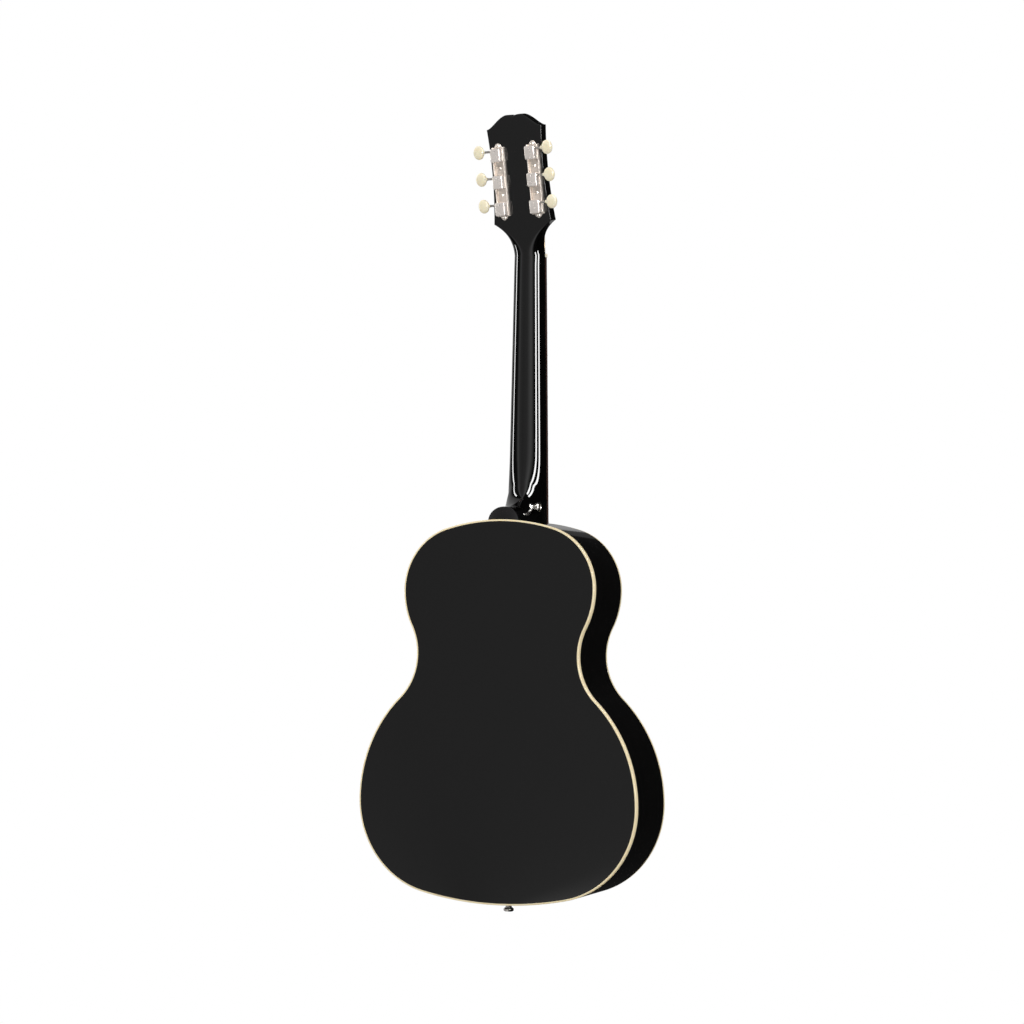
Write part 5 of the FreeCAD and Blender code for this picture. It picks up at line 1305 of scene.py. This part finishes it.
    def screws(self) -> list[Skin]:
        """Slotted heads down the middle of both plates, each turned its own way."""
        skins = []
        for flank in Flank:
            for number, height in enumerate(self.screw_heights()):
                origin = (flank.value * self.half_spread, self.head_back - self.plate_thickness, height)
                place = aimed(origin, (0, -1, 0), 0.7 * number + 0.4 * flank.value)
                skins += [skin.moved(place).moved(on_head) for skin in
                          domed_halves(self.screw_radius, self.screw_height, 0.5, 0.5)]
        return skins

    def bushings(self) -> list[Skin]:
        """Press-in bushings round the posts, with softened flanges."""
        skins = []
        profile = np.array([(self.post_radius, -8.0), (self.bushing_radius, -8.0), (self.bushing_radius, 0.0),
                            (self.bushing_flange, 0.0), (self.bushing_flange, 0.5),
                            (self.bushing_flange - 0.4, 0.95), (self.bushing_flange - 1.2, 1.2),
                            (self.post_radius, 1.2)])
        turn = full_turn(48)
        for number in range(1, 7):
            place = TunerPlace(number)
            height = self.shaft_height(place.rank) - self.gear_offset
            radius, along = profile.T
            x = place.flank.value * self.half_spread + radius[:, None] * np.cos(turn)
            z = height + radius[:, None] * np.sin(turn)
            y = np.broadcast_to(along[:, None], x.shape)
            skins.append(hoop(np.stack([x, y, z], axis=-1)).moved(on_head))
        return skins

    def build(self) -> None:
        """Makes the fixed hardware and one button for each knob, and dresses the moving metal."""
        for flank in Flank:
            side = flank.name.lower()
            make_piece(f"{side}_tuner_plate", self.plate(flank), PLATE_NICKEL, "guitar", "plate_nickel",
                       (f"tuner_plate_{side}",))
        make_piece("stamped_covers", [self.cover(TunerPlace(number)) for number in range(1, 7)],
                   BRIGHT_NICKEL, "guitar", "cover_nickel", ("tuner_covers",))
        make_piece("tuner_screw_heads", self.screws(), SCREW_NICKEL, "guitar", "screw_nickel",
                   ("plate_screws",))
        make_piece("bushing_rings", self.bushings(), POLISHED_NICKEL, "guitar", "bushing_nickel",
                   ("post_bushings",))
        for number in range(1, 7):
            make_piece(f"oval_button_{number}", self.button(TunerPlace(number)), CREAM_BUTTON,
                       f"tuner_knob_{number}", "button_plastic", (f"tuner_button_{number}",))
            dress({f"tuner_worm_{number}": SHAFT_NICKEL, f"tuner_post_{number}": POLISHED_NICKEL})


# ---- Bridge and strings -----------------------------------------------------------------------

@dataclass
class Strings:
    """Six strings from their pins over saddle and nut to the turns on their posts."""

    diameters: tuple[float, ...] = (0.30, 0.41, 0.61, 0.81, 1.07, 1.35)
    plain_count: int = 2
    spread_nut: float = 35.6
    spread_saddle: float = 54.0
    height_nut: float = 7.5
    height_saddle: float = 12.4
    saddle_height: float = NUT_HEIGHT - 628.65 - 2.0
    saddle_lean: float = 2.6
    pin_setback: float = 11.5
    slot_offset: float = 1.9
    bridge_thickness: float = 8.8
    under_plate: float = 5.3
    bend_depth: float = 1.5
    bend_ease: float = 1.2
    waist_radius: float = 2.525
    winding_level: float = 9.2
    winding_length: float = 4.6
    tuners: Tuners = field(default_factory=Tuners)

    def across(self, index: int, spread: float) -> float:
        """Where a string crosses a spread of six."""
        return spread * (index / 5 - 0.5)

    def post(self, index: int) -> tuple[float, float]:
        """A string's post on the headstock: across and up."""
        place = TunerPlace(index + 1)
        return (place.flank.value * self.tuners.half_spread,
                self.tuners.shaft_height(place.rank) - self.tuners.gear_offset)

    def winding_radius(self, index: int) -> float:
        """Middle of the turns, from the post's axis."""
        return self.waist_radius + self.diameters[index] / 2

    def route(self, index: int) -> np.ndarray:
        """The free string: up through the bridge, over saddle and nut, to the side of its post."""
        at_pin = self.across(index, self.spread_saddle)
        low = self.saddle_height - self.pin_setback + self.slot_offset
        lean = at_pin * math.tan(math.radians(self.saddle_lean))
        post_x, post_z = self.post(index)
        inner = post_x - math.copysign(self.winding_radius(index), post_x)
        return np.array([
            (at_pin, FRONT - self.under_plate, low),
            (at_pin, FRONT + self.bridge_thickness - self.bend_depth, low),
            (at_pin, FRONT + self.height_saddle, self.saddle_height - lean),
            (self.across(index, self.spread_nut), FRONT + self.height_nut, NUT_HEIGHT + 0.5),
            on_head(np.array([inner, self.winding_level, post_z]))])

    def coil(self, index: int) -> np.ndarray:
        """Turns round the post: a helix that starts at its inner side and climbs by one diameter."""
        diameter = self.diameters[index]
        post_x, post_z = self.post(index)
        turns = max(2.0, min(6.0, math.floor((self.winding_length - diameter) / diameter)))
        turn = np.linspace(0, turns * 2 * math.pi, int(turns * 28))
        start = math.pi if post_x > 0 else 0.0
        spin = 1 if post_x > 0 else -1
        radius = self.winding_radius(index)
        level = self.winding_level - (turn / (2 * math.pi) - turns / 2) * diameter * 1.02
        x = post_x + radius * np.cos(start - spin * turn)
        z = post_z + radius * np.sin(start - spin * turn)
        return on_head(np.stack([x, level, z], axis=-1))

    def build(self) -> None:
        """Makes each string as a free length on the guitar and turns that go with the post."""
        for index, diameter in enumerate(self.diameters):
            number = index + 1
            plain = index < self.plain_count
            finish = PLAIN_WIRE if plain else BRONZE_WRAP
            slot = "plain_string" if plain else "wound_string"
            path = eased(self.route(index), self.bend_ease, 9)
            make_piece(f"string_length_{number}", [tube(path, diameter / 2, 14)], finish, "guitar", slot,
                       (f"string_{number}",))
            make_piece(f"string_turns_{number}", [tube(self.coil(index), diameter / 2, 10)], finish,
                       f"tuner_gear_{number}", slot)


@dataclass
class Bridge:
    """Bridge, saddle and the six pins with their dots."""

    pin_radius: float = 2.4
    head_radius: float = 3.8
    head_height: float = 3.6
    shank: float = 22.0
    dot_radius: float = 1.3
    strings: Strings = field(default_factory=Strings)

    def build(self) -> None:
        """Turns the pins from one profile and dresses the bridge and saddle."""
        pins, dots = [], []
        profile = eased([(0.0, -self.shank), (self.pin_radius * 0.8, -self.shank),
                         (self.pin_radius, 0.0), (self.head_radius, 0.1),
                         (self.head_radius, self.head_height * 0.45),
                         (self.head_radius * 0.7, self.head_height * 0.9), (0.0, self.head_height)], 0.8)
        for index in range(6):
            origin = (self.strings.across(index, self.strings.spread_saddle),
                      FRONT + self.strings.bridge_thickness,
                      self.strings.saddle_height - self.strings.pin_setback)
            pins.append(turned(profile, origin, (0, 1, 0), 40))
            top = self.head_height - 0.12
            dot = [(0.0, top - 0.6), (self.dot_radius, top - 0.6), (self.dot_radius, top - 0.02),
                   (self.dot_radius * 0.8, top + 0.1), (0.0, top + 0.14)]
            dots.append(turned(dot, origin, (0, 1, 0), 28))
        make_piece("string_pins", pins, CREAM_PIN, "guitar", "pin_plastic", ("bridge_pins",))
        make_piece("pin_dots", dots, PIN_DOT, "guitar", "pin_plastic")
        dress({"bridge": ROSEWOOD_BRIDGE, "saddle": BONE})


# ---- Strap buttons ----------------------------------------------------------------------------

@dataclass
class StrapButtons:
    """Waisted buttons at the tail and on the heel, each held by a slotted screw."""

    base_radius: float = 5.6
    waist_radius: float = 3.8
    head_radius: float = 6.5
    length: float = 13.6
    screw_radius: float = 3.2
    heel_seat: tuple[float, float, float] = (17.0, FRONT - 29.0, BODY_LENGTH + 18.0)

    def profile(self) -> np.ndarray:
        """Radius and distance from the seat: flared foot, waist, broad rim and a dished end."""
        return eased([(0.0, 0.0), (self.base_radius, 0.0), (self.base_radius, 1.2),
                      (self.waist_radius, 3.4), (self.waist_radius, 8.4),
                      (self.head_radius, 9.8), (self.head_radius, 12.4),
                      (self.head_radius - 1.4, self.length),
                      (self.screw_radius + 0.3, self.length - 0.1), (self.screw_radius, self.length - 1.1),
                      (0.0, self.length - 1.2)], 0.9, 6)

    def build(self) -> None:
        """Makes both buttons and both screw heads."""
        seats = [((0.0, 0.0, 0.0), (0, 0, -1)), (self.heel_seat, (1, 0, 0))]
        buttons = [turned(self.profile(), origin, axis, 64) for origin, axis in seats]
        heads = []
        for origin, axis in seats:
            tip = np.array(origin) + (self.length - 1.25) * np.array(axis, float)
            place = aimed(tip, axis, 0.5)
            heads += [skin.moved(place) for skin in domed_halves(self.screw_radius - 0.15, 1.2, 0.7, 0.6)]
        make_piece("strap_pins", buttons, POLISHED_NICKEL, "guitar", "button_nickel", ("strap_buttons",))
        make_piece("strap_pin_screws", heads, SCREW_NICKEL, "guitar", "screw_nickel",
                   ("strap_button_screws",))


# ---- Studio -----------------------------------------------------------------------------------

@dataclass
class Studio:
    """Pale floor, white room, softboxes and the camera behind the guitar's bass side."""

    azimuth: float = 25.0
    elevation: float = -2.742
    roll: float = 0.496
    distance: float = 2843.0
    aim: tuple[float, float, float] = (-23.37, FRONT, 499.8)
    lens: float = 76.03
    floor_size: float = 60.0
    lighting: float = 1.05
    mirrored: tuple[tuple[float, float], ...] = (
        (-180, 0.012), (-156, 0.02), (-146, 0.35), (-108, 0.35), (-96, 0.02), (-58, 0.05),
        (-48, 0.62), (-40, 0.34), (-28, 0.27),
        (-12, 0.34), (6, 0.85), (14, 0.45), (22, 0.03), (60, 0.012), (180, 0.012))

    def direction(self, azimuth: float, elevation: float) -> np.ndarray:
        """Unit vector from the guitar; azimuth 0 is straight behind it and 90 its bass side."""
        a, e = math.radians(azimuth), math.radians(elevation)
        return np.array([math.sin(a) * math.cos(e), -math.cos(a) * math.cos(e), math.sin(e)])

    @staticmethod
    def stand(name: str, data, axes, place) -> bpy.types.Object:
        """Adds a lamp or a camera, with its own X, Y and Z along three directions."""
        matrix = np.eye(4)
        matrix[:3] = np.stack([*axes, place], axis=-1)
        thing = bpy.data.objects.new(name, data)
        thing.matrix_world = Matrix(matrix.tolist())
        bpy.context.scene.collection.objects.link(thing)
        return thing

    def camera(self) -> None:
        """Places the camera on its line of sight, rolled a little about it."""
        back = self.direction(self.azimuth, self.elevation)
        a, turn = math.radians(self.azimuth), math.radians(-self.roll)
        right = np.array([math.cos(a), math.sin(a), 0.0])
        up = np.cross(back, right)
        across = right * math.cos(turn) - up * math.sin(turn)
        upward = right * math.sin(turn) + up * math.cos(turn)
        place = (np.array(self.aim) + back * self.distance) * MILLIMETRE
        data = bpy.data.cameras.new("camera")
        data.lens = self.lens
        data.clip_start, data.clip_end = 0.05, 100.0
        camera = self.stand("camera", data, (across, upward, back), place)
        bpy.context.scene.camera = camera

    def softbox(self, name: str, azimuth: float, elevation: float, away: float,
                size: tuple[float, float], power: float, fill: bool = False) -> None:
        """Rectangular lamp that faces the middle of the guitar.

        A fill lamp lights only dull surfaces; the others only show as reflections.
        """
        data = bpy.data.lights.new(name, "AREA")
        data.shape = "RECTANGLE"
        data.size, data.size_y = size
        data.energy = power
        back = self.direction(azimuth, elevation)
        a = math.radians(azimuth)
        right = np.array([math.cos(a), math.sin(a), 0.0])
        place = np.array([0.0, 0.0, 0.5]) + back * away
        lamp = self.stand(name, data, (right, np.cross(back, right), back), place)
        lamp.visible_camera = False
        lamp.visible_diffuse = fill
        lamp.visible_glossy = not fill

    def azimuth_level(self, kit: Tree, direction) -> bpy.types.NodeSocket:
        """Brightness that mirrors see, read from the heading of a direction or a place.

        Args:
            kit: The node tree to add to.
            direction: Socket of the vector whose heading counts.

        Returns:
            Socket of the brightness, one stop of a ramp for each pair of azimuth and level.
        """
        parts = kit.add("ShaderNodeSeparateXYZ")
        aside = kit.add("ShaderNodeMath", operation="MULTIPLY")
        turn = kit.add("ShaderNodeMath", operation="ARCTAN2")
        kit.link(direction, parts.inputs["Vector"])
        aside.inputs[1].default_value = -1.0
        kit.link(parts.outputs["Y"], aside.inputs[0])
        kit.link(parts.outputs["X"], turn.inputs[0])
        kit.link(aside.outputs["Value"], turn.inputs[1])
        share = kit.add("ShaderNodeMapRange")
        share.inputs["From Min"].default_value = -math.pi
        share.inputs["From Max"].default_value = math.pi
        kit.link(turn.outputs["Value"], share.inputs["Value"])
        stops = [(azimuth / 360 + 0.5, (level, level, level)) for azimuth, level in self.mirrored]
        return kit.ramp(share.outputs["Result"], stops)

    def room(self) -> None:
        """White room for the eye; in reflections, as bright as the level of its heading."""
        world = bpy.data.worlds.new("room")
        bpy.context.scene.world = world
        world.use_nodes = True
        world.node_tree.nodes.clear()
        kit = Tree(world.node_tree)
        path = kit.add("ShaderNodeLightPath")
        level = self.azimuth_level(kit, kit.add("ShaderNodeTexCoord").outputs["Generated"])
        grounds = []
        for strength in (1.0, 1.0, self.lighting):
            ground = kit.add("ShaderNodeBackground")
            ground.inputs["Color"].default_value = (1.0, 1.0, 1.0, 1.0)
            ground.inputs["Strength"].default_value = strength
            grounds.append(ground)
        kit.link(level, grounds[1].inputs["Strength"])
        seen, mirrored, lighting = (ground.outputs["Background"] for ground in grounds)
        soft = kit.mixed(path.outputs["Is Glossy Ray"], lighting, mirrored)
        final = kit.mixed(path.outputs["Is Camera Ray"], soft, seen)
        kit.link(final, kit.add("ShaderNodeOutputWorld").inputs["Surface"])

    def floor(self) -> None:
        """Plain pale floor at the guitar's lowest point, as bright as the room to the eye."""
        low = float(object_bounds()[0][2]) - 0.0002
        half = self.floor_size / 2
        mesh = bpy.data.meshes.new("floor")
        mesh.from_pydata([(-half, -half, low), (half, -half, low), (half, half, low), (-half, half, low)],
                         [], [(0, 1, 2, 3)])
        kit = Nodes("finish_floor")
        kit.link(kit.ramp(kit.noise(0.7, 2.0), [(0.3, (0.60, 0.60, 0.59)), (0.7, (0.64, 0.64, 0.63))]),
                 kit.shader.inputs["Base Color"])
        kit.set(Roughness=0.9)
        path = kit.add("ShaderNodeLightPath")
        output = next(n for n in kit.tree.nodes if n.type == "OUTPUT_MATERIAL")
        level = self.azimuth_level(kit, kit.coordinates)
        dim, bright = kit.add("ShaderNodeEmission"), kit.add("ShaderNodeEmission")
        kit.link(level, dim.inputs["Strength"])
        mirrored = kit.mixed(path.outputs["Is Glossy Ray"], kit.shader.outputs["BSDF"],
                             dim.outputs["Emission"])
        seen = kit.mixed(path.outputs["Is Camera Ray"], mirrored, bright.outputs["Emission"])
        kit.link(seen, output.inputs["Surface"])
        mesh.materials.append(kit.material)
        floor = bpy.data.objects.new("floor", mesh)
        bpy.context.scene.collection.objects.link(floor)
        floor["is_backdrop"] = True

    def build(self) -> None:
        """Sets up room, floor, lamps and camera."""
        bpy.context.scene.view_settings.view_transform = "Standard"
        self.room()
        self.floor()
        for lamp in (("strip_near", 35.0, 23.6, 1.5, (0.20, 2.2), 27.0),
                     ("strip_far", 57.0, 23.6, 1.5, (0.24, 2.2), 32.0),
                     ("left_strip", -84.0, 23.6, 1.6, (0.18, 2.2), 14.0),
                     ("shoulder_low", 199.0, 7.0, 2.6, (1.5, 0.7), 0.9),
                     ("shoulder_high", 197.0, 14.0, 2.7, (1.5, 0.6), 0.15),
                     ("key", 20.0, 52.0, 2.8, (1.6, 1.2), 14.0, True)):
            self.softbox(*lamp)
        self.camera()


# ---- Assembly ---------------------------------------------------------------------------------

def main() -> None:
    """Builds each sub-assembly in order."""
    logging.basicConfig(level=logging.INFO, format="%(name)s %(message)s")
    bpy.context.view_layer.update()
    for assembly in (Body(), Neck(), Tuners(), Bridge(), Strings(), StrapButtons(), Studio()):
        assembly.build()
        LOG.info("%s built", type(assembly).__name__)


if __name__ == "__main__":
    main()
